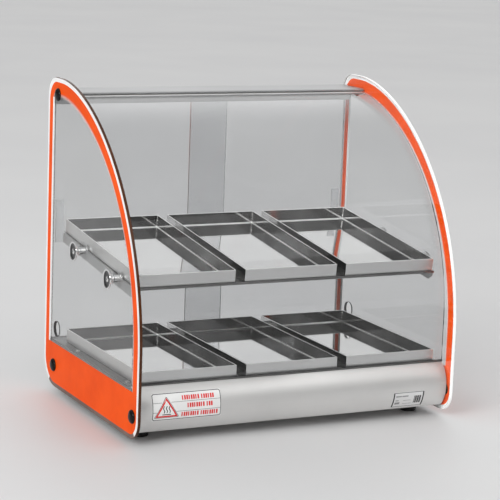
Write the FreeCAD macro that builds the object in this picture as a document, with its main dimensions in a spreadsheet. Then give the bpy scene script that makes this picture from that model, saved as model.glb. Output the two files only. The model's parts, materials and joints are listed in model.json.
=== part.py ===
import FreeCAD, Part
import math
import os
import re
from types import SimpleNamespace
from FreeCAD import Placement, Rotation, Vector

# Hot food display case: a counter-top, two-level warmer with clear side glasses, a curved
# front glass, two sliding rear doors and six lift-out pans.
# Millimetres. X to the customer's right, Y from the customer side (front) to the operator's
# side (rear), Z up. The origin is on the counter, under the middle of the case.

DIMENSIONS = [
    # whole case
    ("overall_width", 470), ("panel_depth", 348), ("panel_height", 437), ("panel_lift", 9),
    ("glass", 4), ("sheet", 1.2), ("fit_gap", 0.3),
    # side glass outline
    ("curve_y", 121.5), ("curve_z", 119), ("curve_power_y", 1.75), ("curve_power_z", 2.02),
    ("top_rear_radius", 28), ("low_front_radius", 28), ("low_rear_radius", 42),
    ("vent_y", 127), ("vent_z", 93.5), ("vent_radius", 11.3),
    # front glass
    ("front_glass", 3), ("front_glass_y", -148), ("front_glass_z", 137),
    ("front_glass_foot", 78.5), ("front_glass_top", 424), ("front_glass_rear", 122),
    # base
    ("fascia_y", -121.5), ("fascia_z", 45.5), ("fascia_radius", 41.5),
    ("fascia_top", 77.5), ("fascia_foot", 15.5), ("return_y", -143.5), ("return_height", 11),
    ("tuck_y", -132), ("deck_top", 75.3), ("tub_top", 74.1), ("tub_rear_top", 65),
    ("rear_face", 157), ("rear_plate_top", 64.5),
    # door tracks and doors
    ("track_front", 150), ("track_wall", 1.5), ("track_channel", 5.5),
    ("low_track_z", 67), ("low_track_top", 75), ("ledge_depth", 16),
    ("door_foot", 69.5), ("door_top", 414.5), ("door_overlap_left", 31), ("door_overlap_right", -24),
    ("door_end_gap", 1.5),
    ("pull_width", 12), ("pull_length", 60), ("pull_foot", 212), ("pull_plate", 1), ("pull_depth", 2.4),
    ("pull_ridge", 2.4), ("pull_inset", 4),
    # top extrusion
    ("nose_y", 108), ("rail_top", 428.5), ("nose_foot", 425), ("slot_foot", 420.3),
    ("lip_foot", 418.3), ("lip_y", 112), ("slot_back", 125), ("rail_foot", 407.7),
    ("port_y", 135), ("port_z", 422.8), ("port_radius", 4.5), ("rail_rear", 170), ("rail_wall", 1.6),
    # fasteners of the side glasses
    ("cap_radius", 9.2), ("cap_height", 4.8), ("screw_radius", 2.4), ("screw_hole", 2.9),
    ("screw_reach", 16), ("low_front_screw_y", -155), ("low_screw_z", 40),
    ("nut_radius", 5), ("nut_height", 4),
    # pans
    ("pan_width", 137), ("pan_depth", 264), ("pan_height", 18.6), ("pan_pitch", 150.7),
    ("pan_wall", 0.9), ("pan_gap", 0.2),
    ("low_pan_y", -142.3),
    # upper shelf
    ("shelf_y", -128), ("shelf_z", 200.7), ("shelf_tilt", 6.5), ("shelf_half_width", 220.6),
    ("shelf_flange", 14), ("bracket", 1.5), ("bracket_x", 221),
    ("stud_front", 53), ("stud_rear", 178), ("stud_drop", 1.5), ("stud_radius", 2.5), ("stud_hole", 3),
    ("ear_radius", 7.5), ("boss_radius", 5),
    ("knob_radius", 13.5), ("knob_neck", 4.5), ("knob_base", 7.5), ("knob_reach", 8),
    # deck
    ("deck_front", -143.2), ("slot_length", 40), ("slot_width", 8), ("slot_pitch", 56), ("slot_lane", 28),
    ("slot_front", -100), ("shelf_slot_front", 40),
    ("deck_screw_x", 224.6), ("deck_screw_front", -116), ("deck_screw_rear", 62), ("deck_screw_radius", 1.5),
    ("deck_tab", 14),
    # feet
    ("foot_x", 204), ("foot_front_y", -108), ("foot_rear_y", 112), ("foot_radius", 13),
    ("foot_screw_radius", 2), ("foot_head_radius", 4), ("foot_head_z", 5), ("foot_head_height", 2.4),
    # heating
    ("element_radius", 3.25), ("element_half", 165), ("element_z", 60), ("element_tail", 30),
    ("shield_z", 44), ("shield_front", -100),
    ("bridge_z", 55.5), ("bridge_width", 12), ("bridge_front", -88), ("wire_radius", 1.2),
    # rear controls
    ("control_z", 42), ("thermostat_x", 60), ("switch_x", 110), ("lamp_x", 150), ("gland_x", -180),
    ("dial_radius", 15), ("dial_gap", 1.7), ("scale_radius", 21), ("scale_sheet", 0.8),
    ("shaft_radius", 3), ("shaft_clearance", 0.05), ("bush_radius", 4.5),
    ("thermostat_width", 34), ("thermostat_depth", 27), ("thermostat_height", 30),
    ("bulb_y", 141), ("bulb_z", 69.5),
    ("rocker_radius", 10), ("rocker_width", 12), ("rocker_tilt", 10), ("rocker_pin", 1.5),
    ("rocker_gap", 0.3), ("switch_width", 15.2), ("switch_height", 27), ("switch_depth", 20),
    ("bezel_width", 19), ("bezel_height", 31), ("bezel", 1.6),
    ("lamp_radius", 6), ("gland_bore", 3.6), ("gland_radius", 8), ("gland_hex", 11.5),
    ("louvre_x", -140), ("louvre_pitch", 16), ("louvre_width", 4), ("louvre_height", 28),
]

doc = FreeCAD.newDocument("hot_food_display_case")
sheet = doc.addObject("Spreadsheet::Sheet", "Dimensions")
for row, (alias, value) in enumerate(DIMENSIONS, start=1):
    sheet.set("A%d" % row, alias)
    sheet.set("B%d" % row, str(value))
    sheet.setAlias("B%d" % row, alias)
doc.recompute()
dim = SimpleNamespace(**{alias: float(sheet.get(alias)) for alias, _ in DIMENSIONS})

inner_half = dim.overall_width / 2 - dim.glass
SIDES = [("left", -1), ("right", 1)]
parts = []


# ---------------------------------------------------------------- helpers

def formula(text):
    """Point each alias in an expression at its cell of the sheet."""
    return re.sub(r"[a-z_]+", lambda word: "Dimensions." + word.group()
                  if hasattr(dim, word.group()) else word.group(), str(text))


def bind(item, **expressions):
    for name, text in expressions.items():
        item.setExpression(name, formula(text))


def place(item, x=0, y=0, z=0, rotation=Rotation()):
    """Put an item at x, y, z, each a number or an expression of the sheet."""
    item.Placement = Placement(Vector(0, 0, 0), rotation)
    for axis, text in zip("xyz", (x, y, z)):
        item.setExpression(".Placement.Base." + axis, formula(text))


def keep(item, label):
    """Name a finished piece of the case."""
    item.Label = label
    parts.append(item)
    return item


def box(name, length, width, height, x, y, z):
    """A block from its low corner."""
    item = doc.addObject("Part::Box", name)
    bind(item, Length=length, Width=width, Height=height)
    place(item, x, y, z)
    return item


TURN = {
    "+x": Rotation(Vector(0, 1, 0), 90), "-x": Rotation(Vector(0, 1, 0), -90),
    "+y": Rotation(Vector(1, 0, 0), -90), "-y": Rotation(Vector(1, 0, 0), 90),
    "+z": Rotation(), "-z": Rotation(Vector(1, 0, 0), 180),
}


def rod(name, radius, length, x, y, z, axis="+z"):
    """A cylinder that runs from a point along an axis."""
    item = doc.addObject("Part::Cylinder", name)
    bind(item, Radius=radius, Height=length)
    place(item, x, y, z, TURN[axis])
    return item


def cone(name, radius_1, radius_2, length, x, y, z, axis="+z"):
    item = doc.addObject("Part::Cone", name)
    bind(item, Radius1=radius_1, Radius2=radius_2, Height=length)
    place(item, x, y, z, TURN[axis])
    return item


def fuse(name, *items):
    item = doc.addObject("Part::MultiFuse", name)
    item.Shapes = list(items)
    return item


def cut(name, base, *tools):
    """Take one or more tools out of a base."""
    item = doc.addObject("Part::Cut", name)
    item.Base = base
    item.Tool = tools[0] if len(tools) == 1 else fuse(name + "_tools", *tools)
    return item


def group(name, items):
    """Identical loose pieces that share one node."""
    item = doc.addObject("Part::Compound", name)
    item.Links = list(items)
    return item


def plane_of(body, role):
    return next(item for item in body.Origin.OriginFeatures if item.Role == role)


def outline(body, name, role, edges):
    """A sketch of closed loops on one of the body's own planes."""
    sketch = body.newObject("Sketcher::SketchObject", name)
    sketch.AttachmentSupport = [(plane_of(body, role), "")]
    sketch.MapMode = "FlatFace"
    sketch.addGeometry(edges, False)
    return sketch


def pad(body, name, sketch, length):
    """A pad that is symmetric about its sketch."""
    item = body.newObject("PartDesign::Pad", name)
    item.Profile = sketch
    item.SideType = "Symmetric"
    bind(item, Length=length)
    return item


def pocket(body, name, sketch, length):
    """A pocket that is symmetric about its sketch."""
    item = body.newObject("PartDesign::Pocket", name)
    item.Profile = sketch
    item.SideType = "Symmetric"
    bind(item, Length=length)
    return item


def new_body(name):
    return doc.addObject("PartDesign::Body", name)


def at(y, z):
    """A point of a side profile: the sketch's own X is the case's Y."""
    return Vector(y, z, 0)


def line(start, end):
    return Part.LineSegment(start, end)


def chain(points):
    """Straight edges from each point to the next, closed."""
    return [line(a, b) for a, b in zip(points, points[1:] + points[:1])]


def arc(start, middle, end):
    return Part.Arc(start, middle, end)


def corner(centre, radius, start_angle, end_angle):
    """A round corner between two angles in degrees."""
    middle_angle = (start_angle + end_angle) / 2
    points = []
    for angle in (start_angle, middle_angle, end_angle):
        turn = math.radians(angle)
        points.append(Vector(centre.x + radius * math.cos(turn), centre.y + radius * math.sin(turn), 0))
    return Part.Arc(*points)


def bow(centre, reach_y, reach_z, offset=0, count=14):
    """The case's front curve: a quarter of a superellipse, from its foot up to its top.

    offset moves the whole curve inwards, square to itself.
    """
    points = []
    for step in range(count + 1):
        turn = math.pi / 2 * step / count
        cosine = max(math.cos(turn), 0.0)
        sine = max(math.sin(turn), 0.0)
        y = -reach_y * cosine ** (2 / dim.curve_power_y)
        z = reach_z * sine ** (2 / dim.curve_power_z)
        slope_y = -(abs(y) / reach_y) ** (dim.curve_power_y - 1) * dim.curve_power_y / reach_y
        slope_z = (z / reach_z) ** (dim.curve_power_z - 1) * dim.curve_power_z / reach_z
        size = math.hypot(slope_y, slope_z)
        y -= offset * slope_y / size
        z -= offset * slope_z / size
        points.append(Vector(centre.x + y, centre.y + z, 0))
    curve = Part.BSplineCurve()
    curve.interpolate(Points=points, InitialTangent=Vector(0, 1, 0), FinalTangent=Vector(1, 0, 0))
    return curve


def tilted(along, up):
    """The y and z expressions of a point of the sloping shelf: along its slope, and square to it."""
    slope = "shelf_tilt * 1deg"
    y = "shelf_y + (%s) * cos(%s) - (%s) * sin(%s)" % (along, slope, up, slope)
    z = "shelf_z + (%s) * sin(%s) + (%s) * cos(%s)" % (along, slope, up, slope)
    return y, z


def tilted_point(along, up):
    """The same point as a sketch point of the side profile."""
    slope = math.radians(dim.shelf_tilt)
    return at(dim.shelf_y + along * math.cos(slope) - up * math.sin(slope),
              dim.shelf_z + along * math.sin(slope) + up * math.cos(slope))


def circle(centre, radius):
    return Part.Circle(centre, Vector(0, 0, 1), radius)


SHELF_TURN = Rotation(Vector(1, 0, 0), dim.shelf_tilt)
STUDS = [tilted_point(along, -dim.stud_drop) for along in (dim.stud_front, dim.stud_rear)]
PANEL_SCREWS = [at(dim.port_y, dim.port_z), at(dim.port_y, dim.low_screw_z),
                at(dim.low_front_screw_y, dim.low_screw_z)]
PAN_COLUMNS = [("left", -1), ("middle", 0), ("right", 1)]


# ---------------------------------------------------------------- glass

def side_glass(side, sign):
    """A flat side glass: straight at the back and foot, bowed from the front up to the top."""
    front = -dim.panel_depth / 2
    rear = dim.panel_depth / 2
    foot = dim.panel_lift
    top = foot + dim.panel_height
    bow_centre = at(dim.curve_y, dim.curve_z)
    low_front = at(front + dim.low_front_radius, foot + dim.low_front_radius)
    low_rear = at(rear - dim.low_rear_radius, foot + dim.low_rear_radius)
    top_rear = at(rear - dim.top_rear_radius, top - dim.top_rear_radius)
    edges = [
        line(at(front, low_front.y), at(front, dim.curve_z)),
        bow(bow_centre, dim.curve_y - front, top - dim.curve_z),
        line(at(dim.curve_y, top), at(top_rear.x, top)),
        corner(top_rear, dim.top_rear_radius, 90, 0),
        line(at(rear, top_rear.y), at(rear, low_rear.y)),
        corner(low_rear, dim.low_rear_radius, 0, -90),
        line(at(low_rear.x, foot), at(low_front.x, foot)),
        corner(low_front, dim.low_front_radius, -90, -180),
    ]
    edges += [circle(point, dim.screw_hole) for point in PANEL_SCREWS]
    edges += [circle(point, dim.stud_hole) for point in STUDS]
    edges.append(circle(at(dim.vent_y, dim.vent_z), dim.vent_radius))
    body = new_body("side_glass_" + side)
    pad(body, side + "_glass_pad", outline(body, side + "_glass_outline", "YZ_Plane", edges), "glass")
    place(body, x="%d * (overall_width - glass) / 2" % sign)
    return keep(body, "side_glass_" + side)


def front_glass():
    """The bowed front glass, from its seal on the fascia into the slot of the top rail."""
    outer_y = dim.front_glass_y
    inner_y = outer_y + dim.front_glass
    centre = at(dim.curve_y, dim.front_glass_z)
    reach_y = dim.curve_y - outer_y
    reach_z = dim.front_glass_top - dim.front_glass_z
    inner_top = dim.front_glass_top - dim.front_glass
    edges = [
        line(at(outer_y, dim.front_glass_foot), at(outer_y, dim.front_glass_z)),
        bow(centre, reach_y, reach_z),
        line(at(dim.curve_y, dim.front_glass_top), at(dim.front_glass_rear, dim.front_glass_top)),
        line(at(dim.front_glass_rear, dim.front_glass_top), at(dim.front_glass_rear, inner_top)),
        line(at(dim.front_glass_rear, inner_top), at(dim.curve_y, inner_top)),
        bow(centre, reach_y, reach_z, dim.front_glass),
        line(at(inner_y, dim.front_glass_z), at(inner_y, dim.front_glass_foot)),
        line(at(inner_y, dim.front_glass_foot), at(outer_y, dim.front_glass_foot)),
    ]
    body = new_body("front_glass")
    pad(body, "front_glass_pad", outline(body, "front_glass_outline", "YZ_Plane", edges),
        "overall_width - 2 * glass - 2 * fit_gap")
    return keep(body, "front_glass")


def glass_seal():
    """The black channel between the front glass and the fascia."""
    lip = 1
    lip_height = 0.9
    outer = dim.front_glass_y - lip
    inner = dim.front_glass_y + dim.front_glass + lip
    foot = dim.fascia_top
    floor = dim.front_glass_foot
    top = floor + lip_height
    points = [at(outer, foot), at(inner, foot), at(inner, top), at(inner - lip, top),
              at(inner - lip, floor), at(outer + lip, floor), at(outer + lip, top), at(outer, top)]
    body = new_body("front_glass_seal")
    pad(body, "seal_pad", outline(body, "seal_outline", "YZ_Plane", chain(points)),
        "overall_width - 2 * glass - 2 * fit_gap")
    return keep(body, "front_glass_seal")


# ---------------------------------------------------------------- top rail and door tracks

def track_teeth(foot, top):
    """The walls of the two door channels, from the front wall to the rear one."""
    pitch = dim.track_wall + dim.track_channel
    points = []
    for index in range(3):
        front = dim.track_front + index * pitch
        points += [at(front, top), at(front, foot), at(front + dim.track_wall, foot),
                   at(front + dim.track_wall, top)]
    return points


def top_rail():
    """The aluminium rail: a rounded nose, the front glass slot and the upper door channels."""
    nose_round = (dim.rail_top - dim.nose_foot) / 2
    rear = dim.rail_rear
    points = [at(dim.nose_y + nose_round, dim.nose_foot), at(dim.slot_back, dim.nose_foot),
              at(dim.slot_back, dim.slot_foot), at(dim.lip_y, dim.slot_foot), at(dim.lip_y, dim.lip_foot)]
    points += track_teeth(dim.rail_foot, dim.lip_foot)
    points += [at(rear, dim.lip_foot), at(rear, dim.rail_top), at(dim.nose_y + nose_round, dim.rail_top)]
    edges = [line(a, b) for a, b in zip(points, points[1:])]
    edges.append(arc(points[-1], at(dim.nose_y, dim.nose_foot + nose_round), points[0]))
    edges.append(circle(at(dim.port_y, dim.port_z), dim.screw_radius + 0.1))
    void_front = dim.port_y + dim.port_radius + 1.5
    void_rear = rear - dim.rail_wall
    void_top = dim.rail_top - dim.rail_wall
    edges += chain([at(void_front, dim.slot_foot), at(void_rear, dim.slot_foot),
                    at(void_rear, void_top), at(void_front, void_top)])
    body = new_body("top_rail")
    pad(body, "rail_pad", outline(body, "rail_outline", "YZ_Plane", edges),
        "overall_width - 2 * glass - fit_gap / 3")
    return keep(body, "top_rail")


def lower_track():
    """The lower door channels."""
    pitch = dim.track_wall + dim.track_channel
    floor = dim.low_track_z + dim.sheet
    rear = dim.track_front + 2 * pitch + dim.track_wall
    points = [at(dim.track_front, dim.low_track_z)]
    for index in range(3):
        front = dim.track_front + index * pitch
        if index:
            points.append(at(front, floor))
        points += [at(front, dim.low_track_top), at(front + dim.track_wall, dim.low_track_top)]
        if index < 2:
            points.append(at(front + dim.track_wall, floor))
    points.append(at(rear, dim.low_track_z))
    body = new_body("lower_door_track")
    pad(body, "track_pad", outline(body, "track_outline", "YZ_Plane", chain(points)),
        "overall_width - 2 * glass - 2 * fit_gap")
    return keep(body, "lower_door_track")


def rear_door(side):
    """A sliding glass door in its own channel, and its thin finger pull by the outer edge."""
    end = "overall_width / 2 - glass - door_end_gap"
    if side == "left":
        low_x = "-(%s)" % end
        width = "%s + door_overlap_left" % end
        channel = "track_front + track_wall + track_channel / 2"
        pull_x = "-(%s) + pull_inset" % end
    else:
        low_x = "door_overlap_right"
        width = "%s - door_overlap_right" % end
        channel = "track_front + 2 * track_wall + 1.5 * track_channel"
        pull_x = "%s - pull_inset - pull_width" % end
    pane = box("rear_door_" + side, width, "glass", "door_top - door_foot",
               low_x, channel + " - glass / 2", "door_foot")
    keep(pane, "rear_door_" + side)
    back = channel + " + glass / 2"
    plate = box("pull_plate_" + side, "pull_width", "pull_plate", "pull_length", pull_x, back, "pull_foot")
    ridge = box("pull_ridge_" + side, "pull_ridge", "pull_depth", "pull_length", pull_x, back, "pull_foot")
    keep(fuse("door_pull_" + side, plate, ridge), "door_pull_" + side)


# ---------------------------------------------------------------- base

def arc_half(rise, radius):
    """How far the fascia's round reaches forward of its centre at a height above it."""
    return math.sqrt(radius ** 2 - rise ** 2)


def fascia():
    """The rolled steel front of the base, with a return under the glass and one under the tub."""
    outer = dim.fascia_radius
    inner = outer - dim.sheet
    rise_top = dim.fascia_top - dim.fascia_z
    rise_low = dim.fascia_foot + 2 - dim.fascia_z
    top_y = dim.fascia_y - arc_half(rise_top, outer)
    low_y = dim.fascia_y - arc_half(rise_low, outer)
    inner_top = dim.fascia_top - dim.sheet
    inner_foot = dim.fascia_foot + dim.sheet
    inner_top_y = dim.fascia_y - arc_half(inner_top - dim.fascia_z, inner)
    inner_low_y = dim.fascia_y - arc_half(inner_foot + 2 - dim.fascia_z, inner)
    return_y = dim.return_y
    return_foot = dim.fascia_top - dim.return_height
    tuck_y = dim.tuck_y
    outer_front = at(dim.fascia_y - outer, dim.fascia_z)
    inner_front = at(dim.fascia_y - inner, dim.fascia_z)
    edges = [
        arc(at(low_y, dim.fascia_foot + 2), outer_front, at(top_y, dim.fascia_top)),
        line(at(top_y, dim.fascia_top), at(return_y, dim.fascia_top)),
        line(at(return_y, dim.fascia_top), at(return_y, return_foot)),
        line(at(return_y, return_foot), at(return_y - dim.sheet, return_foot)),
        line(at(return_y - dim.sheet, return_foot), at(return_y - dim.sheet, inner_top)),
        line(at(return_y - dim.sheet, inner_top), at(inner_top_y, inner_top)),
        arc(at(inner_top_y, inner_top), inner_front, at(inner_low_y, inner_foot + 2)),
        line(at(inner_low_y, inner_foot + 2), at(low_y + 5, inner_foot)),
        line(at(low_y + 5, inner_foot), at(tuck_y, inner_foot)),
        line(at(tuck_y, inner_foot), at(tuck_y, dim.fascia_foot)),
        line(at(tuck_y, dim.fascia_foot), at(low_y + 4, dim.fascia_foot)),
        line(at(low_y + 4, dim.fascia_foot), at(low_y, dim.fascia_foot + 2)),
    ]
    body = new_body("front_fascia")
    pad(body, "fascia_pad", outline(body, "fascia_outline", "YZ_Plane", edges),
        "overall_width - 2 * glass - 2 * fit_gap")
    return keep(body, "front_fascia")


def fascia_plate(label, centre_x, width, low_angle, high_angle, thickness):
    """A thin plate or label that follows the round of the fascia."""
    inner = dim.fascia_radius
    outer = inner + thickness

    def on_round(radius, angle):
        turn = math.radians(angle)
        return at(dim.fascia_y - radius * math.cos(turn), dim.fascia_z + radius * math.sin(turn))

    middle = (low_angle + high_angle) / 2
    edges = [
        arc(on_round(outer, low_angle), on_round(outer, middle), on_round(outer, high_angle)),
        line(on_round(outer, high_angle), on_round(inner, high_angle)),
        arc(on_round(inner, high_angle), on_round(inner, middle), on_round(inner, low_angle)),
        line(on_round(inner, low_angle), on_round(outer, low_angle)),
    ]
    body = new_body(label)
    pad(body, label + "_pad", outline(body, label + "_outline", "YZ_Plane", edges), str(width))
    place(body, x=str(centre_x))
    return keep(body, label)


def base_tub():
    """The folded tub: a floor and two side walls whose front edges follow the fascia."""
    radius = dim.fascia_radius - dim.sheet - 0.1
    foot = dim.fascia_foot + dim.sheet
    bend = foot + 3
    notch_z = dim.fascia_top - dim.return_height - dim.fit_gap
    notch_y = dim.return_y + dim.fit_gap
    low_y = dim.fascia_y - arc_half(bend - dim.fascia_z, radius)
    wall_y = dim.fascia_y - arc_half(notch_z - dim.fascia_z, radius)
    rear = dim.rear_face - dim.sheet
    shoulder = dim.track_front - 1
    edges = [
        arc(at(low_y, bend), at(dim.fascia_y - radius, dim.fascia_z), at(wall_y, notch_z)),
        line(at(wall_y, notch_z), at(notch_y, notch_z)),
        line(at(notch_y, notch_z), at(notch_y, dim.tub_top)),
        line(at(notch_y, dim.tub_top), at(shoulder, dim.tub_top)),
        line(at(shoulder, dim.tub_top), at(shoulder, dim.tub_rear_top)),
        line(at(shoulder, dim.tub_rear_top), at(rear, dim.tub_rear_top)),
        line(at(rear, dim.tub_rear_top), at(rear, foot)),
        line(at(rear, foot), at(low_y + 6, foot)),
        line(at(low_y + 6, foot), at(low_y, bend)),
    ]
    body = new_body("base_tub")
    pad(body, "tub_block", outline(body, "tub_outline", "YZ_Plane", edges), "overall_width - 2 * glass")
    front = -dim.panel_depth / 2
    floor = foot + dim.sheet
    above = dim.tub_top + 10
    hollow = chain([at(front, floor), at(-front, floor), at(-front, above), at(front, above)])
    pocket(body, "tub_hollow", outline(body, "hollow_outline", "YZ_Plane", hollow),
           "overall_width - 2 * glass - 2 * sheet")
    holes = [circle(point, dim.screw_hole) for point in PANEL_SCREWS[1:]]
    pocket(body, "tub_screw_holes", outline(body, "screw_hole_outline", "YZ_Plane", holes), "overall_width")
    foot_holes = []
    for x in (-dim.foot_x, dim.foot_x):
        for y in (dim.foot_front_y, dim.foot_rear_y):
            foot_holes.append(circle(Vector(x, y, 0), dim.foot_screw_radius + dim.fit_gap))
    foot_hole_outline = outline(body, "foot_hole_outline", "XY_Plane", foot_holes)
    pocket(body, "tub_foot_holes", foot_hole_outline, "4 * fascia_foot")
    return keep(body, "base_tub")


def rear_panel():
    """The operator's panel: cut-outs for the controls, a row of louvre slots and a top ledge."""
    plate_foot = "fascia_foot + 2 * sheet"
    plate_width = "overall_width - 2 * glass - 2 * sheet - 2 * fit_gap"
    ledge_width = "overall_width - 2 * glass - 2 * fit_gap"
    plate = box("rear_plate", plate_width, "sheet", "rear_plate_top - (%s)" % plate_foot,
                "-(%s) / 2" % plate_width, "rear_face - sheet", plate_foot)
    ledge = box("rear_ledge", ledge_width, "ledge_depth", "sheet",
                "-(%s) / 2" % ledge_width, "track_front", "low_track_z - sheet")
    web = box("rear_web", plate_width, "sheet", "low_track_z - rear_plate_top",
              "-(%s) / 2" % plate_width, "rear_face - sheet", "rear_plate_top")
    start = "rear_face - 3 * sheet"
    depth = "5 * sheet"
    tools = [
        rod("bush_hole", "bush_radius + 0.2", depth, "thermostat_x", start, "control_z", "+y"),
        box("switch_hole", "switch_width + 0.2", depth, "switch_height + 0.2",
            "switch_x - switch_width / 2 - 0.1", start, "control_z - switch_height / 2 - 0.1"),
        rod("lamp_hole", "lamp_radius", depth, "lamp_x", start, "control_z", "+y"),
        rod("gland_hole", "gland_radius + 0.1", depth, "gland_x", start, "control_z", "+y"),
    ]
    for index in range(9):
        tools.append(box("louvre_%d" % index, "louvre_width", depth, "louvre_height",
                         "louvre_x + %d * louvre_pitch" % index, start, "control_z - louvre_height / 2"))
    return keep(cut("rear_panel", fuse("rear_sheet", plate, ledge, web), *tools), "rear_panel")


def deck():
    """The hot deck that the lower pans stand on, slotted under each pan."""
    width = "overall_width - 2 * glass - 2 * fit_gap"
    blank = box("deck_blank", width, "track_front - 0.4 - deck_front", "sheet",
                "-(%s) / 2" % width, "deck_front", "deck_top - sheet")
    below = "deck_top - 2 * sheet"
    slots = []
    for label, column in PAN_COLUMNS:
        for row in range(4):
            for lane in (-1, 1):
                slot_x = "%d * pan_pitch + %d * slot_lane - slot_length / 2" % (column, lane)
                slots.append(box("slot_%s_%d_%d" % (label, row, lane + 1), "slot_length", "slot_width",
                                 "3 * sheet", slot_x, "slot_front + %d * slot_pitch" % row, below))
    holes = []
    for index, (x, y) in enumerate(deck_screw_spots()):
        holes.append(rod("deck_hole_%d" % index, "deck_screw_radius + 0.2", "3 * sheet", x, y, below))
    return keep(cut("deck_plate", blank, *(slots + holes)), "deck_plate")


def deck_screw_spots():
    """The middle of each deck screw."""
    rows = (dim.deck_screw_front, dim.deck_screw_rear)
    return [(x, y) for x in (-dim.deck_screw_x, dim.deck_screw_x) for y in rows]


def deck_fixings():
    """Four screws in the deck, and the four brackets inside the tub that they hold to."""
    screws = []
    brackets = []
    wall = inner_half - dim.sheet
    for index, (x, y) in enumerate(deck_screw_spots()):
        head = rod("deck_head_%d" % index, "2 * deck_screw_radius", 1.8, x, y, "deck_top")
        shank = rod("deck_shank_%d" % index, "deck_screw_radius", 9, x, y, "deck_top - 9")
        screws.append(fuse("deck_screw_%d" % index, head, shank))
        tab_low = -wall if x < 0 else wall - dim.deck_tab
        leg_low = -wall if x < 0 else wall - dim.sheet
        tab = box("deck_tab_%d" % index, "deck_tab", "deck_tab", "sheet", tab_low, "%g - deck_tab / 2" % y,
                  "tub_top - sheet")
        leg = box("deck_leg_%d" % index, "sheet", "deck_tab", "deck_tab", leg_low, "%g - deck_tab / 2" % y,
                  "tub_top - deck_tab")
        hole = rod("deck_tab_hole_%d" % index, "deck_screw_radius + 0.1", "3 * sheet", x, y,
                   "tub_top - 2 * sheet")
        brackets.append(cut("deck_bracket_%d" % index, fuse("deck_angle_%d" % index, tab, leg), hole))
    keep(group("deck_screw_group", screws), "deck_screws")
    keep(group("deck_bracket_group", brackets), "deck_brackets")


def feet():
    """Four rubber feet and the screws up through them."""
    screws = []
    seat = "fascia_foot + sheet"
    for end in ("front", "rear"):
        for side, sign in SIDES:
            x = "%d * foot_x" % sign
            y = "foot_%s_y" % end
            name = "%s_%s" % (end, side)
            blank = cone("foot_blank_" + name, "foot_radius - 2", "foot_radius", seat, x, y, 0)
            bore = rod("foot_bore_" + name, "foot_screw_radius + fit_gap", "fascia_foot + 4", x, y, -1)
            recess = rod("foot_recess_" + name, "foot_head_radius + 1", "1 + foot_head_z + foot_head_height",
                         x, y, -1)
            keep(cut("foot_" + name, blank, bore, recess), "foot_" + name)
            head = rod("foot_head_" + name, "foot_head_radius", "foot_head_height", x, y, "foot_head_z")
            shank = rod("foot_shank_" + name, "foot_screw_radius", "fascia_foot - 1.5", x, y,
                        "foot_head_z + 2")
            screws.append(fuse("foot_screw_" + name, head, shank))
    keep(group("foot_screw_group", screws), "foot_screws")


# ---------------------------------------------------------------- side fixings

def side_fixings():
    """Black domed cap screws through the side glasses, and the weld nuts behind the low ones."""
    screws = []
    nuts = []
    for side, sign in SIDES:
        outward = "+x" if sign > 0 else "-x"
        inward = "-x" if sign > 0 else "+x"
        face = "%d * overall_width / 2" % sign
        for index, spot in enumerate(PANEL_SCREWS):
            name = "%s_%d" % (side, index)
            dome = doc.addObject("Part::Ellipsoid", "cap_dome_" + name)
            bind(dome, Radius1="cap_height", Radius2="cap_radius", Radius3="cap_radius", Angle1=0)
            place(dome, face, spot.x, spot.y, TURN[outward])
            shank = rod("cap_shank_" + name, "screw_radius", "screw_reach", face, spot.x, spot.y, inward)
            screws.append(fuse("cap_screw_" + name, dome, shank))
            if index:
                nut = doc.addObject("Part::Prism", "nut_" + name)
                bind(nut, Circumradius="nut_radius", Height="nut_height")
                place(nut, "%d * (overall_width / 2 - glass - sheet)" % sign, spot.x, spot.y, TURN[inward])
                hole = rod("nut_hole_" + name, "screw_radius + 0.05", 20, face, spot.x, spot.y, inward)
                nuts.append(cut("weld_nut_" + name, nut, hole))
    keep(group("cap_screw_group", screws), "panel_cap_screws")
    keep(group("weld_nut_group", nuts), "panel_weld_nuts")


def shelf_fixings():
    """Chrome dished knobs outside the side glasses, and the bosses between glass and bracket."""
    knobs = []
    bosses = []
    for side, sign in SIDES:
        outward = "+x" if sign > 0 else "-x"
        inward = "-x" if sign > 0 else "+x"
        for index, spot in enumerate(STUDS):
            name = "%s_%d" % (side, index)

            def out(distance):
                return "%d * (overall_width / 2 + %s)" % (sign, distance)

            base = rod("knob_base_" + name, "knob_base", 1.6, out(0), spot.x, spot.y, outward)
            neck = rod("knob_neck_" + name, "knob_neck", 4, out(1), spot.x, spot.y, outward)
            flare = cone("knob_flare_" + name, "knob_neck", "knob_radius", 2.2, out(4.4),
                         spot.x, spot.y, outward)
            rim = rod("knob_rim_" + name, "knob_radius", "knob_reach - 6.6", out(6.6),
                      spot.x, spot.y, outward)
            dish = cone("knob_dish_" + name, 2, "knob_radius - 0.8", 1.6, out("knob_reach - 1.6"),
                        spot.x, spot.y, outward)
            stud = rod("knob_stud_" + name, "stud_radius", "glass + 9.5", out(0.5), spot.x, spot.y, inward)
            head = cut("knob_head_" + name, fuse("knob_body_" + name, base, neck, flare, rim), dish)
            knobs.append(fuse("knob_" + name, head, stud))
            pipe = rod("boss_pipe_" + name, "boss_radius", "overall_width / 2 - glass - bracket_x - bracket",
                       out("-glass"), spot.x, spot.y, inward)
            hole = rod("boss_hole_" + name, "stud_radius + 0.05", 20, out(0), spot.x, spot.y, inward)
            bosses.append(cut("boss_" + name, pipe, hole))
    keep(group("knob_group", knobs), "shelf_knobs")
    keep(group("boss_group", bosses), "shelf_bosses")


# ---------------------------------------------------------------- upper shelf and pans

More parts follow.
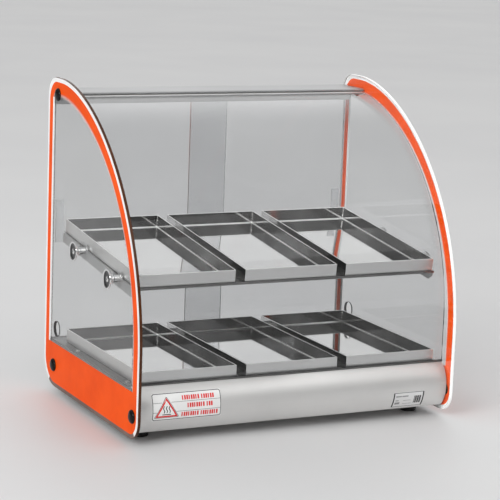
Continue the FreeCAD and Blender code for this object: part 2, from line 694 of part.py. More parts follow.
def upper_shelf():
    """The sloping shelf: a slotted plate with a low stop along its front edge."""
    y, z = tilted("-1", "-sheet - pan_gap")
    plate = box("shelf_sheet", "2 * shelf_half_width", "pan_depth + 3", "sheet", 0, 0, 0)
    place(plate, "-shelf_half_width", y, z, SHELF_TURN)
    stop_y, stop_z = tilted("-2.2", "-sheet - pan_gap")
    stop = box("shelf_stop", "2 * shelf_half_width", "sheet", "sheet + 2.2", 0, 0, 0)
    place(stop, "-shelf_half_width", stop_y, stop_z, SHELF_TURN)
    slots = []
    for label, column in PAN_COLUMNS:
        for row in range(4):
            slot_y, slot_z = tilted("shelf_slot_front + %d * slot_pitch" % row, "-3 * sheet")
            slot = box("shelf_slot_%s_%d" % (label, row), "slot_length", "slot_width", "5 * sheet", 0, 0, 0)
            place(slot, "%d * pan_pitch - slot_length / 2" % column, slot_y, slot_z, SHELF_TURN)
            slots.append(slot)
    return keep(cut("upper_shelf", fuse("shelf_folded", plate, stop), *slots), "upper_shelf")


def shelf_bracket(side, sign):
    """A side bracket of the shelf: a strip with a round ear at each stud."""
    strip = chain([tilted_point(3, -dim.pan_gap), tilted_point(262, -dim.pan_gap),
                   tilted_point(262, -dim.shelf_flange), tilted_point(12, -dim.shelf_flange),
                   tilted_point(3, -7)])
    body = new_body("shelf_bracket_" + side)
    pad(body, side + "_strip", outline(body, side + "_strip_outline", "YZ_Plane", strip), "bracket")
    for index, spot in enumerate(STUDS):
        ear = outline(body, "%s_ear_outline_%d" % (side, index), "YZ_Plane", [circle(spot, dim.ear_radius)])
        pad(body, "%s_ear_%d" % (side, index), ear, "bracket")
    holes = outline(body, side + "_hole_outline", "YZ_Plane", [circle(spot, dim.stud_hole) for spot in STUDS])
    pocket(body, side + "_stud_holes", holes, "4 * bracket")
    place(body, x="%d * (bracket_x + bracket / 2)" % sign)
    return keep(body, "shelf_bracket_" + side)


def pan(label, x, y, z, rotation):
    """A straight-walled folded pan. x is its middle, y and z its low front edge."""
    shell = box(label + "_shell", "pan_width", "pan_depth", "pan_height", "-pan_width / 2", 0, 0)
    hollow = box(label + "_hollow", "pan_width - 2 * pan_wall", "pan_depth - 2 * pan_wall", "pan_height",
                 "-pan_width / 2 + pan_wall", "pan_wall", "pan_wall")
    item = cut(label, shell, hollow)
    place(item, x, y, z, rotation)
    return keep(item, label)


def pans():
    for label, column in PAN_COLUMNS:
        x = "%d * pan_pitch" % column
        pan("lower_pan_" + label, x, "low_pan_y", "deck_top + pan_gap", Rotation())
        y, z = tilted("0", "0")
        pan("upper_pan_" + label, x, y, z, SHELF_TURN)


# ---------------------------------------------------------------- heating and wiring in the base

ELEMENT_LANES = [110, 50, -10, -70]


def heating_element():
    """A tubular element in four passes under the deck, with both ends on the left."""
    bend = (ELEMENT_LANES[0] - ELEMENT_LANES[1]) / 2
    tubes = []
    for index, y in enumerate(ELEMENT_LANES):
        tail = "element_tail" if index in (0, len(ELEMENT_LANES) - 1) else "0"
        tubes.append(rod("element_pass_%d" % index, "element_radius", "2 * element_half + " + tail,
                         "-element_half - " + tail, y, "element_z", "+x"))
    for index, sign in enumerate((1, -1, 1)):
        turn = doc.addObject("Part::Torus", "element_bend_%d" % index)
        bind(turn, Radius1=bend, Radius2="element_radius", Angle3=180)
        place(turn, "%d * element_half" % sign, ELEMENT_LANES[index] - bend, "element_z",
              Rotation(Vector(0, 0, 1), -90 * sign))
        tubes.append(turn)
    return keep(fuse("heating_element", *tubes), "heating_element")


def heat_shield():
    """The plate under the element, its four spacers and the two bridges that carry the element."""
    half_width = 190
    depth = 221
    keep(box("shield_plate", 2 * half_width, depth, "sheet", -half_width, "shield_front", "shield_z"),
         "heat_shield")
    floor = "fascia_foot + 2 * sheet"
    spacers = []
    for index, (x, y) in enumerate([(-170, -80), (170, -80), (-170, 100), (170, 100)]):
        spacers.append(rod("spacer_%d" % index, 4, "shield_z - (%s)" % floor, x, y, floor))
    keep(group("spacer_group", spacers), "shield_spacers")
    span = 206
    bridges = []
    for index, x in enumerate((-110, 98)):
        top = box("bridge_top_%d" % index, "bridge_width", span, "sheet", x, "bridge_front", "bridge_z")
        legs = []
        for end, y in (("front", "bridge_front"), ("rear", "bridge_front + %d - sheet" % span)):
            legs.append(box("bridge_leg_%d_%s" % (index, end), "bridge_width", "sheet",
                            "bridge_z - shield_z - sheet / 2", x, y, "shield_z + sheet"))
        bridges.append(fuse("bridge_%d" % index, top, *legs))
    keep(group("bridge_group", bridges), "element_bridges")


def loom(label, points):
    """A wire along square runs, with a ball at each bend."""
    pieces = []
    for index, (start, end) in enumerate(zip(points, points[1:])):
        step = [b - a for a, b in zip(start, end)]
        axis = next(i for i, size in enumerate(step) if size)
        heading = ("+" if step[axis] > 0 else "-") + "xyz"[axis]
        pieces.append(rod("%s_run_%d" % (label, index), "wire_radius", abs(step[axis]), *start, axis=heading))
        if index:
            ball = doc.addObject("Part::Sphere", "%s_bend_%d" % (label, index))
            bind(ball, Radius="wire_radius")
            place(ball, *start)
            pieces.append(ball)
    item = pieces[0] if len(pieces) == 1 else fuse(label, *pieces)
    return keep(item, label)


def wiring():
    """Wires between the gland, terminal block, switch, thermostat, lamp and element."""
    z = dim.control_z
    block_x = -140
    block_y = 129
    block_foot = 18
    block_z = block_foot + 8
    low_z = block_foot + 4
    supply_y = block_y + 8
    switch_y = block_y + 11
    signal_y = block_y + 16
    left_x = -203
    end_x = -dim.element_half - dim.element_tail
    thermostat_edge = dim.thermostat_width / 2
    switch_edge = dim.switch_width / 2
    loom("supply_wire", [(dim.gland_x, 151, z), (dim.gland_x, supply_y, z), (dim.gland_x, supply_y, block_z),
                         (block_x, supply_y, block_z)])
    loom("switch_wire", [(block_x + 40, switch_y, low_z), (dim.switch_x, switch_y, low_z),
                         (dim.switch_x, switch_y, z - dim.switch_height / 2)])
    loom("thermostat_wire", [(dim.thermostat_x + thermostat_edge, signal_y, z),
                             (dim.switch_x - switch_edge, signal_y, z)])
    loom("lamp_wire", [(dim.switch_x + switch_edge, signal_y + 2, z),
                       (dim.lamp_x - dim.lamp_radius + 0.2, signal_y + 2, z)])
    rear_lane = ELEMENT_LANES[0]
    front_lane = ELEMENT_LANES[-1]
    feed_y = block_y + 3
    feed_z = z - 5
    loom("element_feed_wire", [(dim.thermostat_x - thermostat_edge, feed_y, feed_z), (left_x, feed_y, feed_z),
                               (left_x, rear_lane, feed_z), (left_x, rear_lane, dim.element_z),
                               (end_x, rear_lane, dim.element_z)])
    return_x = left_x - 9
    return_y = block_y - 3
    loom("element_return_wire", [(block_x + 20, block_y, block_z), (block_x + 20, return_y, block_z),
                                 (return_x, return_y, block_z), (return_x, front_lane, block_z),
                                 (return_x, front_lane, dim.element_z), (end_x, front_lane, dim.element_z)])
    block = box("terminal_blank", 40, 16, 14, block_x, block_y, block_foot)
    wells = [rod("terminal_well_%d" % index, 2.6, 8, block_x + 6 + 9.3 * index, block_y + 8, block_z)
             for index in range(4)]
    keep(cut("terminal_block", block, *wells), "terminal_block")


# ---------------------------------------------------------------- rear controls

def thermostat():
    """Thermostat, its sensor under the deck, the shaft with its dial, and the scale plate."""
    case = box("thermostat_case", "thermostat_width", "thermostat_depth", "thermostat_height",
               "thermostat_x - thermostat_width / 2", "rear_face - 5 - thermostat_depth",
               "control_z - thermostat_height / 2")
    bush = rod("thermostat_bush", "bush_radius", 6.4, "thermostat_x", "rear_face - 5", "control_z", "+y")
    bore = rod("thermostat_bore", "shaft_radius + shaft_clearance", 30, "thermostat_x", "rear_face - 15",
               "control_z", "+y")
    keep(cut("thermostat", fuse("thermostat_solid", case, bush), bore), "thermostat")
    drop = "bulb_z - (control_z + thermostat_height / 2)"
    bulb = rod("bulb", 3, 80, 50, "bulb_y", "bulb_z", "-x")
    capillary = rod("capillary", 0.9, 10.9, 49, "bulb_y", "bulb_z", "+x")
    capillary_drop = rod("capillary_drop", 0.9, drop + " + 0.9", 59, "bulb_y",
                         "control_z + thermostat_height / 2")
    keep(fuse("thermostat_sensor", bulb, capillary, capillary_drop), "thermostat_sensor")
    keep(rod("thermostat_shaft", "shaft_radius", 28, "thermostat_x", "rear_face - 14.5", "control_z", "+y"),
         "thermostat_shaft")
    scale = rod("scale_blank", "scale_radius", "scale_sheet", "thermostat_x", "rear_face", "control_z", "+y")
    scale_hole = rod("scale_hole", "bush_radius + 0.2", 3, "thermostat_x", "rear_face - 1", "control_z", "+y")
    keep(cut("dial_scale_plate", scale, scale_hole), "dial_scale_plate")
    dial_foot = "rear_face + scale_sheet + dial_gap"
    skirt = rod("dial_skirt", "dial_radius", 4, "thermostat_x", dial_foot, "control_z", "+y")
    drum = rod("dial_drum", "dial_radius - 3", 8, "thermostat_x", dial_foot + " + 4", "control_z", "+y")
    grip = box("dial_grip", 6, 4, "2 * dial_radius - 7", "thermostat_x - 3", dial_foot + " + 9.5",
               "control_z - dial_radius + 3.5")
    socket = rod("dial_socket", "shaft_radius", 11.5, "thermostat_x", dial_foot + " - 0.5", "control_z", "+y")
    keep(cut("thermostat_dial", fuse("dial_solid", skirt, drum, grip), socket), "thermostat_dial")


def rocker_switch():
    """The power switch: a housing with a round well, and a rocker on two pins."""
    axis_y = "rear_face + 0.5"
    slack = 0.3
    case = box("switch_case", "switch_width", "switch_depth", "switch_height", "switch_x - switch_width / 2",
               "rear_face - switch_depth", "control_z - switch_height / 2")
    bezel = box("switch_bezel", "bezel_width", "bezel", "bezel_height", "switch_x - bezel_width / 2",
                "rear_face", "control_z - bezel_height / 2")
    low_x = "switch_x - rocker_width / 2 - %g" % slack
    well = rod("switch_well", "rocker_radius + rocker_gap", "rocker_width + %g" % (2 * slack), low_x,
               axis_y, "control_z", "+x")
    mouth = box("switch_mouth", "rocker_width + %g" % (2 * slack), 4, "2 * (rocker_radius + rocker_gap)",
                low_x, axis_y, "control_z - rocker_radius - rocker_gap")
    pin_hole = rod("switch_pin_hole", "rocker_pin + 0.05", "rocker_width + 2.8",
                   "switch_x - rocker_width / 2 - 1.4", axis_y, "control_z", "+x")
    keep(cut("power_switch_housing", fuse("switch_solid", case, bezel), well, mouth, pin_hole),
         "power_switch_housing")
    drum = rod("rocker_drum", "rocker_radius", "rocker_width", "switch_x - rocker_width / 2", axis_y,
               "control_z", "+x")
    tilt = Rotation(Vector(1, 0, 0), -dim.rocker_tilt)
    trim = box("rocker_trim", 30, 30, 60, 0, 0, 0)
    place(trim, "switch_x - 15", "rear_face + 1.5 - 30 * sin(rocker_tilt * 1deg)", "control_z - 30", tilt)
    pins = rod("rocker_pins", "rocker_pin", "rocker_width + 2.4", "switch_x - rocker_width / 2 - 1.2", axis_y,
               "control_z", "+x")
    keep(fuse("power_rocker", cut("rocker_block", drum, trim), pins), "power_rocker")


def pilot_lamp():
    """The amber lamp: a body through the panel, and a domed lens with a collar."""
    keep(rod("pilot_lamp_body", "lamp_radius - 0.2", 18, "lamp_x", "rear_face - 18", "control_z", "+y"),
         "pilot_lamp_body")
    collar = rod("lamp_collar", "lamp_radius + 1.5", 1.2, "lamp_x", "rear_face", "control_z", "+y")
    dome = doc.addObject("Part::Ellipsoid", "lamp_dome")
    bind(dome, Radius1=4, Radius2="lamp_radius - 0.5", Radius3="lamp_radius - 0.5", Angle1=0)
    place(dome, "lamp_x", "rear_face + 1", "control_z", TURN["+y"])
    keep(fuse("pilot_lamp_lens", collar, dome), "pilot_lamp_lens")


def cable_gland():
    """The cord's gland through the rear panel, and its lock nut inside."""
    hexagon = doc.addObject("Part::Prism", "gland_hexagon")
    bind(hexagon, Circumradius="gland_hex", Height=5)
    place(hexagon, "gland_x", "rear_face", "control_z", TURN["+y"])
    dome = rod("gland_dome", "gland_hex - 2", 6, "gland_x", "rear_face + 5", "control_z", "+y")
    crown = cone("gland_crown", "gland_hex - 2", "gland_hex - 5", 3, "gland_x", "rear_face + 11",
                 "control_z", "+y")
    thread = rod("gland_thread", "gland_radius", 6, "gland_x", "rear_face - 6", "control_z", "+y")
    bore = rod("gland_bore", "gland_bore", 24, "gland_x", "rear_face - 8", "control_z", "+y")
    keep(cut("cable_gland", fuse("gland_solid", hexagon, dome, crown, thread), bore), "cable_gland")
    nut = doc.addObject("Part::Prism", "gland_nut_hexagon")
    bind(nut, Circumradius="gland_hex", Height="3 * sheet")
    place(nut, "gland_x", "rear_face - sheet", "control_z", TURN["-y"])
    hole = rod("gland_nut_hole", "gland_radius + 0.05", 12, "gland_x", "rear_face - 10", "control_z", "+y")
    keep(cut("gland_lock_nut", nut, hole), "gland_lock_nut")


# ---------------------------------------------------------------- assemble, check and write

for side_name, side_sign in SIDES:
    side_glass(side_name, side_sign)
    shelf_bracket(side_name, side_sign)
    rear_door(side_name)
front_glass()
glass_seal()
top_rail()
lower_track()
fascia()
fascia_plate("warning_label", -161.8, 98, -17, 33, 0.3)
fascia_plate("rating_plate", 172, 49, -38, -4.6, 0.4)
base_tub()
rear_panel()
deck()
deck_fixings()
feet()
side_fixings()
shelf_fixings()
upper_shelf()
pans()
heating_element()
heat_shield()
wiring()
thermostat()
rocker_switch()
pilot_lamp()
cable_gland()
doc.recompute()

for item in doc.Objects:
    if "Invalid" in item.State or "Error" in item.State:
        raise RuntimeError("%s did not compute: %s" % (item.Name, item.State))
labels = [item.Label for item in parts]
if len(set(labels)) != len(labels) or len(labels) > 60:
    raise RuntimeError("labels are not unique, or there are too many: %d" % len(labels))
for item in parts:
    if item.Shape.isNull() or not item.Shape.isValid() or item.Shape.Volume <= 0:
        raise RuntimeError(item.Label + " has no valid solid")

os.makedirs("parts", exist_ok=True)
for item in parts:
    item.Shape.exportStep("parts/%s.step" % item.Label)
print("%d parts written" % len(parts))
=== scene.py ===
import json
import math
import bmesh
import bpy
from mathutils import Matrix, Vector
from mathutils.geometry import tessellate_polygon


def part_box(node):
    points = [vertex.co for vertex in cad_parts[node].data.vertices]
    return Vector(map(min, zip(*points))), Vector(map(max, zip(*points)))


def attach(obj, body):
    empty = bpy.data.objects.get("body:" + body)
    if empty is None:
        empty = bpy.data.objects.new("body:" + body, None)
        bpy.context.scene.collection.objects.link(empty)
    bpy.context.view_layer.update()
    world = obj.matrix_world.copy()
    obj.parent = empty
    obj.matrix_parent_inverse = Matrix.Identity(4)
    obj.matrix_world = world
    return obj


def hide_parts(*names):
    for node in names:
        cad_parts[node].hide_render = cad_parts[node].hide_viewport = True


# Looks of the hot food display case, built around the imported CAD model.
# X to the customer's right, Y from the customer to the operator, Z up; metres.

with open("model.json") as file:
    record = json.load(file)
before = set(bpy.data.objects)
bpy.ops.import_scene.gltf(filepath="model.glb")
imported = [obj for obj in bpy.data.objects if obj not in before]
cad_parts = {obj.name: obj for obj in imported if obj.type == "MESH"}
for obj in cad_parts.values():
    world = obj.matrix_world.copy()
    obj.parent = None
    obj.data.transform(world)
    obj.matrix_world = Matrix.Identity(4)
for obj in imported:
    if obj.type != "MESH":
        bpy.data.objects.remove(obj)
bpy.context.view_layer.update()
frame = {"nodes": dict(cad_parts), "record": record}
nodes = frame["nodes"]

MM = 0.001
CASE = "case"
SIDES = (("left", -1), ("right", 1))
COLUMNS = ("left", "middle", "right")


# ---------------- material helpers

def new_material(name, colour, metallic=0.0, roughness=0.5, **sockets):
    """A Principled material with its constants on the shader's own sockets."""
    material = bpy.data.materials.new(name)
    material.use_nodes = True
    tree = material.node_tree
    shader = tree.nodes["Principled BSDF"]
    shader.inputs["Base Color"].default_value = (*colour, 1)
    shader.inputs["Metallic"].default_value = metallic
    shader.inputs["Roughness"].default_value = roughness
    for socket, value in sockets.items():
        shader.inputs[socket.replace("_", " ")].default_value = value
    return material, tree, shader


def add(tree, kind, **settings):
    """A shader node with its settings."""
    item = tree.nodes.new("ShaderNode" + kind)
    for key, value in settings.items():
        setattr(item, key, value)
    return item


def noise(tree, scale, detail=3.0, roughness=0.55):
    """Noise of a piece's own coordinates: cycles per metre, in one number or one for each axis."""
    coordinates = add(tree, "TexCoord")
    mapping = add(tree, "Mapping")
    mapping.inputs["Scale"].default_value = scale if isinstance(scale, tuple) else (scale, scale, scale)
    texture = add(tree, "TexNoise")
    texture.inputs["Scale"].default_value = 1.0
    texture.inputs["Detail"].default_value = detail
    texture.inputs["Roughness"].default_value = roughness
    tree.links.new(coordinates.outputs["Object"], mapping.inputs["Vector"])
    tree.links.new(mapping.outputs["Vector"], texture.inputs["Vector"])
    return texture.outputs["Fac"]


def spread(tree, value, low, high, start=0.3, end=0.7):
    """Map the part of a noise between start and end to a range."""
    item = add(tree, "MapRange")
    for name, number in zip(("From Min", "From Max", "To Min", "To Max"), (start, end, low, high)):
        item.inputs[name].default_value = number
    tree.links.new(value, item.inputs["Value"])
    return item.outputs["Result"]


def colour_mix(tree, **settings):
    """A Mix node for colours: its factor, its two colours and its result."""
    item = add(tree, "Mix", data_type="RGBA", **settings)
    first, second = (socket for socket in item.inputs if socket.type == "RGBA")
    result = next(socket for socket in item.outputs if socket.type == "RGBA")
    return item.inputs["Factor"], first, second, result


def tint(tree, value, low, high):
    """Mix two constant colours by a value."""
    factor, first, second, result = colour_mix(tree)
    tree.links.new(value, factor)
    first.default_value = (*low, 1)
    second.default_value = (*high, 1)
    return result


def bump(tree, shader, height, strength, distance):
    """Raise a surface by a height."""
    item = add(tree, "Bump")
    item.inputs["Strength"].default_value = strength
    item.inputs["Distance"].default_value = distance
    tree.links.new(height, item.inputs["Height"])
    tree.links.new(item.outputs["Normal"], shader.inputs["Normal"])


def varied(name, low, high, grain, metallic=0.0, rough=(0.4, 0.5), relief=0.05, depth=0.0002, cloud=14.0,
           **sockets):
    """A surface with cloudy colour, uneven roughness and a fine relief.

    Its colour drifts from low to high in clouds, and its roughness over the range rough with the
    grain, which also drives a relief of that strength and depth. Both scales are cycles per metre.
    """
    material, tree, shader = new_material(name, low, metallic, **sockets)
    clouds = noise(tree, cloud, 4.0)
    fine = noise(tree, grain, 4.0, 0.6)
    tree.links.new(tint(tree, spread(tree, clouds, 0, 1), low, high), shader.inputs["Base Color"])
    tree.links.new(spread(tree, fine, *rough), shader.inputs["Roughness"])
    bump(tree, shader, fine, relief, depth)
    return material


GLASS_IOR = 1.28    # under real glass, so that the panes mirror the pale room less


def glass(name, colour, smudge):
    """Clear glass that lets lamps through, with faint wiped smudges."""
    material, tree, shader = new_material(name, colour, 0.0, 0.0, Transmission_Weight=1.0, IOR=GLASS_IOR)
    clouds = noise(tree, (9, 9, 6), 5.0, 0.6)
    tree.links.new(spread(tree, clouds, 0.0, smudge, 0.45, 0.8), shader.inputs["Roughness"])
    film = noise(tree, (5, 5, 9), 3.0)
    pale = tuple(min(1.0, c * 1.03) for c in colour)
    tree.links.new(tint(tree, spread(tree, film, 0, 1), colour, pale), shader.inputs["Base Color"])
    clear = add(tree, "BsdfTransparent")
    clear.inputs["Color"].default_value = (*colour, 1)
    path = add(tree, "LightPath")
    mix = add(tree, "MixShader")
    tree.links.new(path.outputs["Is Shadow Ray"], mix.inputs[0])
    tree.links.new(shader.outputs[0], mix.inputs[1])
    tree.links.new(clear.outputs[0], mix.inputs[2])
    tree.links.new(mix.outputs[0], tree.nodes["Material Output"].inputs["Surface"])
    return material


ORANGE = (0.97, 0.105, 0.006)
ORANGE_DEEP = (0.90, 0.085, 0.004)
FADED = (0.95, 0.9, 0.86)
DOTS_PER_METRE = 1100.0
DOT_RADII = (0.72, 0.16)    # in grid cells, from the dense edge of the fade to its open edge


def shrinking_dots(tree, across):
    """1 inside a grid of dots that shrink as the value across grows, and 0 between them."""
    coordinates = add(tree, "TexCoord")
    grid = add(tree, "VectorMath", operation="SCALE")
    grid.inputs["Scale"].default_value = DOTS_PER_METRE
    cell = add(tree, "VectorMath", operation="FRACTION")
    centred = add(tree, "VectorMath", operation="SUBTRACT")
    centred.inputs[1].default_value = (0.5, 0.5, 0.5)
    flat = add(tree, "VectorMath", operation="MULTIPLY")
    flat.inputs[1].default_value = (0, 1, 1)
    from_middle = add(tree, "VectorMath", operation="LENGTH")
    value = coordinates.outputs["Object"]
    for step in (grid, cell, centred, flat, from_middle):
        tree.links.new(value, step.inputs[0])
        value = step.outputs[0]
    dot = add(tree, "Math", operation="LESS_THAN")
    tree.links.new(from_middle.outputs["Value"], dot.inputs[0])
    tree.links.new(spread(tree, across, *DOT_RADII, 0.0, 1.0), dot.inputs[1])
    return dot.outputs[0]


def print_film(name, low, high, opacity, fade=False):
    """Glossy ceramic print on glass. With fade, it pales and thins out to dots across the band."""
    material, tree, shader = new_material(name, low, 0.0, 0.3, Specular_IOR_Level=0.04)
    clouds = noise(tree, 18, 3.0)
    colour = tint(tree, spread(tree, clouds, 0, 1), low, high)
    fine = noise(tree, 900, 2.0)
    tree.links.new(spread(tree, fine, 0.30, 0.42), shader.inputs["Roughness"])
    if not fade:
        tree.links.new(colour, shader.inputs["Base Color"])
        tree.links.new(spread(tree, clouds, opacity - 0.03, opacity + 0.03), shader.inputs["Alpha"])
        return material
    across = add(tree, "Attribute", attribute_name="fade").outputs["Fac"]
    factor, printed, faded, result = colour_mix(tree)
    tree.links.new(across, factor)
    tree.links.new(colour, printed)
    faded.default_value = (*FADED, 1)
    tree.links.new(result, shader.inputs["Base Color"])
    strength = add(tree, "Math", operation="MULTIPLY")
    tree.links.new(shrinking_dots(tree, across), strength.inputs[0])
    strength.inputs[1].default_value = opacity
    tree.links.new(strength.outputs[0], shader.inputs["Alpha"])
    return material


# ---------------- materials

BRUSHED_X = (4, 1400, 1400)
materials = {
    "stainless": varied("brushed_stainless", (0.76, 0.755, 0.745), (0.83, 0.825, 0.815), BRUSHED_X, 1.0,
                        (0.54, 0.64), 0.10, 0.00004, 7.0, Anisotropic=0.5),
    # the shelf's stainless is painted much darker than the rest, as shade under the pans
    "shelf_steel": varied("shelf_stainless_painted_shade", (0.20, 0.20, 0.195), (0.28, 0.275, 0.27), BRUSHED_X, 1.0,
                          (0.24, 0.36), 0.10, 0.00005, 9.0),
    # the deck's stainless is painted darker still, as shade beside and under the pans
    "deck_steel": varied("deck_stainless_painted_shade", (0.12, 0.12, 0.118), (0.19, 0.187, 0.183), BRUSHED_X, 1.0,
                         (0.28, 0.42), 0.10, 0.00005, 9.0),
    "pan_steel": varied("pan_satin", (0.78, 0.775, 0.765), (0.85, 0.845, 0.835), (6, 900, 900), 1.0,
                        (0.28, 0.40), 0.10, 0.00004, 10.0, Anisotropic=0.4),
    "bracket_steel": varied("bracket_satin", (0.46, 0.46, 0.46), (0.55, 0.55, 0.55), (900, 6, 900), 1.0,
                            (0.30, 0.42), 0.08, 0.00004),
    "element_steel": varied("element_steel", (0.16, 0.14, 0.13), (0.30, 0.24, 0.20), 60, 1.0,
                            (0.35, 0.55), 0.2, 0.0001),
    "zinc_steel": varied("zinc_plate", (0.50, 0.50, 0.50), (0.62, 0.62, 0.60), 300, 1.0,
                         (0.30, 0.50), 0.1, 0.0001, 40.0),
    "copper": varied("copper", (0.72, 0.36, 0.22), (0.80, 0.45, 0.30), 200, 1.0, (0.25, 0.4)),
    "printed_glass": glass("side_glass", (0.89, 0.895, 0.895), 0.04),
    "clear_glass": glass("front_glass", (0.84, 0.845, 0.85), 0.03),
    "aluminium": varied("satin_aluminium", (0.46, 0.465, 0.47), (0.54, 0.545, 0.55), (5, 1500, 1500), 1.0,
                        (0.42, 0.52), 0.10, 0.00004, 6.0, Anisotropic=0.4),
    "chrome": varied("chrome", (0.80, 0.80, 0.80), (0.86, 0.86, 0.86), 160, 1.0, (0.03, 0.10),
                     0.03, 0.00005, 60.0),
    "black_plastic": varied("black_plastic", (0.003, 0.003, 0.003), (0.007, 0.007, 0.0075),
                            1200, 0.0, (0.06, 0.10), 0.01, 0.00001, 50.0, Specular_IOR_Level=0.2),
    "white_plastic": varied("white_plastic", (0.62, 0.61, 0.57), (0.72, 0.71, 0.68), 700, 0.0,
                            (0.35, 0.5), 0.1, 0.0001, 40.0),
    "red_plastic": varied("red_plastic", (0.42, 0.015, 0.010), (0.52, 0.022, 0.014), 700, 0.0,
                          (0.18, 0.28), 0.05, 0.00005, 40.0, Coat_Weight=0.4, Coat_Roughness=0.1),
    "amber_plastic": varied("amber_lens", (0.80, 0.22, 0.02), (0.90, 0.30, 0.03), 500, 0.0,
                            (0.10, 0.18), 0.05, 0.00005, 60.0, Transmission_Weight=0.35, Coat_Weight=0.5),
    "black_rubber": varied("black_rubber", (0.014, 0.014, 0.014), (0.028, 0.027, 0.026), 900,
                           0.0, (0.55, 0.75), 0.25, 0.0001, 60.0),
    "label_film": varied("label_film", (0.84, 0.84, 0.83), (0.92, 0.92, 0.91), 500, 0.0,
                         (0.26, 0.36), 0.03, 0.00003, 25.0, Coat_Weight=0.2),
    "plate_foil": varied("plate_foil", (0.78, 0.78, 0.78), (0.86, 0.86, 0.86), (8, 1200, 1200), 0.25,
                         (0.30, 0.42), 0.05, 0.00003, 25.0),
    "wire_brown": varied("wire_brown", (0.10, 0.04, 0.018), (0.14, 0.06, 0.026), 400, rough=(0.4, 0.55)),
    "wire_blue": varied("wire_blue", (0.02, 0.06, 0.30), (0.03, 0.09, 0.40), 400, rough=(0.4, 0.55)),
}

# Pans: a mirror for the floors, a darker one for the walls, which is painted shade, and a bright satin line
# along the folds and the rim's top, which is a painted highlight.
mirror = varied("pan_mirror", (0.70, 0.697, 0.69), (0.78, 0.776, 0.768), 60, 1.0,
                (0.04, 0.06), 0.0, 0.00001, 12.0)
# the walls' mirror is painted darker than the floors', as shade on the pans' inner walls
wall_painted_shade = varied("pan_wall_mirror", (0.26, 0.258, 0.255), (0.60, 0.596, 0.588), 90, 1.0,
                     (0.05, 0.08), 0.0, 0.00001, 15.0)
# a brighter satin on the folds and the rim's top: a painted highlight
painted_highlight_steel = varied("pan_painted_highlight", (0.93, 0.93, 0.92), (0.98, 0.98, 0.97), 90, 1.0,
                    (0.42, 0.52), 0.0, 0.00001, 15.0)

# Glass, its edges and what is printed on it.
door_glass = glass("door_glass", (0.82, 0.825, 0.83), 0.03)
clear_acrylic = varied("clear_acrylic", (0.80, 0.81, 0.81), (0.88, 0.89, 0.89), 300, 0.0,
                       (0.06, 0.14), 0.02, 0.00003, 40.0, Alpha=0.30)
# an opaque dark brown for glass edges: painted shade on the left glass's edge and on both outer eases
glass_edge = varied("glass_edge", (0.055, 0.018, 0.007), (0.105, 0.034, 0.012), 120, 0.0,
                    (0.20, 0.32), 0.05, 0.0001, 30.0, Specular_IOR_Level=0.2)
clear_edge = glass("glass_cut_edge", (0.83, 0.86, 0.85), 0.12)
# the right glass's edge is painted white with a faint glow, a painted highlight of the light it catches
edge_painted_highlight = varied("glass_edge_painted_highlight", (0.90, 0.90, 0.895), (0.96, 0.96, 0.955), 120, 0.0,
                     (0.2, 0.35), 0.03, 0.00005, 30.0, Emission_Strength=0.22)
# the vent's bore is painted dark grey as shade
hole_edge = varied("hole_edge", (0.045, 0.045, 0.045), (0.09, 0.09, 0.09), 200, rough=(0.2, 0.35))
orange = print_film("orange_print", ORANGE_DEEP, ORANGE, 0.985)
orange_fade = print_film("orange_fade", ORANGE_DEEP, ORANGE, 0.80, fade=True)
white_rim = print_film("white_rim", (0.93, 0.93, 0.925), (0.98, 0.98, 0.975), 0.95)
shaded_rim = print_film("shaded_rim", (0.16, 0.12, 0.105), (0.24, 0.18, 0.16), 0.9)

# Small parts, paint and ink.
bead_metal = varied("bead_aluminium", (0.80, 0.80, 0.80), (0.86, 0.86, 0.86), (5, 1500, 1500), 1.0,
                    (0.30, 0.4), 0.05, 0.00003)
# a dark chrome that paints the dark reflections in the knobs' dishes
dish_painted_reflection = varied("dish_painted_reflection", (0.035, 0.035, 0.037), (0.08, 0.08, 0.083), 160, 1.0,
                     (0.06, 0.16), 0.03, 0.00005, 60.0)
seal_rubber = varied("seal_rubber", (0.075, 0.075, 0.075), (0.12, 0.12, 0.118), 900, 0.0,
                     (0.5, 0.7), 0.1, 0.00005, 60.0)
white_paint = varied("white_paint", (0.78, 0.78, 0.76), (0.86, 0.86, 0.84), 600)
ink_black = varied("ink_black", (0.010, 0.010, 0.010), (0.022, 0.022, 0.022), 900, rough=(0.35, 0.5))
ink_red = varied("ink_red", (0.72, 0.012, 0.012), (0.82, 0.02, 0.018), 900, rough=(0.3, 0.45))
ink_grey = varied("ink_grey", (0.20, 0.20, 0.20), (0.30, 0.30, 0.30), 900, rough=(0.35, 0.5))

record_slots = {entry["node"]: entry["material_slot"] for entry in frame["record"]["subparts"]}
own_looks = {"front_glass_seal": seal_rubber}
for name, item in nodes.items():
    item.data.materials.clear()
    item.data.materials.append(own_looks.get(name, materials[record_slots[name]]))


# ---------------- mesh helpers

def put(name, data):
    """A new object in the scene."""
    item = bpy.data.objects.new(name, data)
    bpy.context.scene.collection.objects.link(item)
    return item


def piece(name, bm, looks, body, replaces=(), sharp=35):
    """Turn a bmesh into a piece that rides on a body, with its faces turned outwards."""
    bmesh.ops.recalc_face_normals(bm, faces=bm.faces)
    mesh = bpy.data.meshes.new(name)
    bm.to_mesh(mesh)
    bm.free()
    item = put(name, mesh)
    for look in looks:
        mesh.materials.append(look)
    mesh.shade_smooth()
    mesh.set_sharp_from_angle(angle=math.radians(sharp))
    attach(item, body)
    if replaces:
        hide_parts(*replaces)


def merge(target, other, index):
    """Add a bmesh's faces to another with a material index."""
    mesh = bpy.data.meshes.new("part")
    other.to_mesh(mesh)
    other.free()
    before = len(target.faces)
    target.from_mesh(mesh)
    bpy.data.meshes.remove(mesh)
    target.faces.ensure_lookup_table()
    for face in target.faces[before:]:
        face.material_index = index


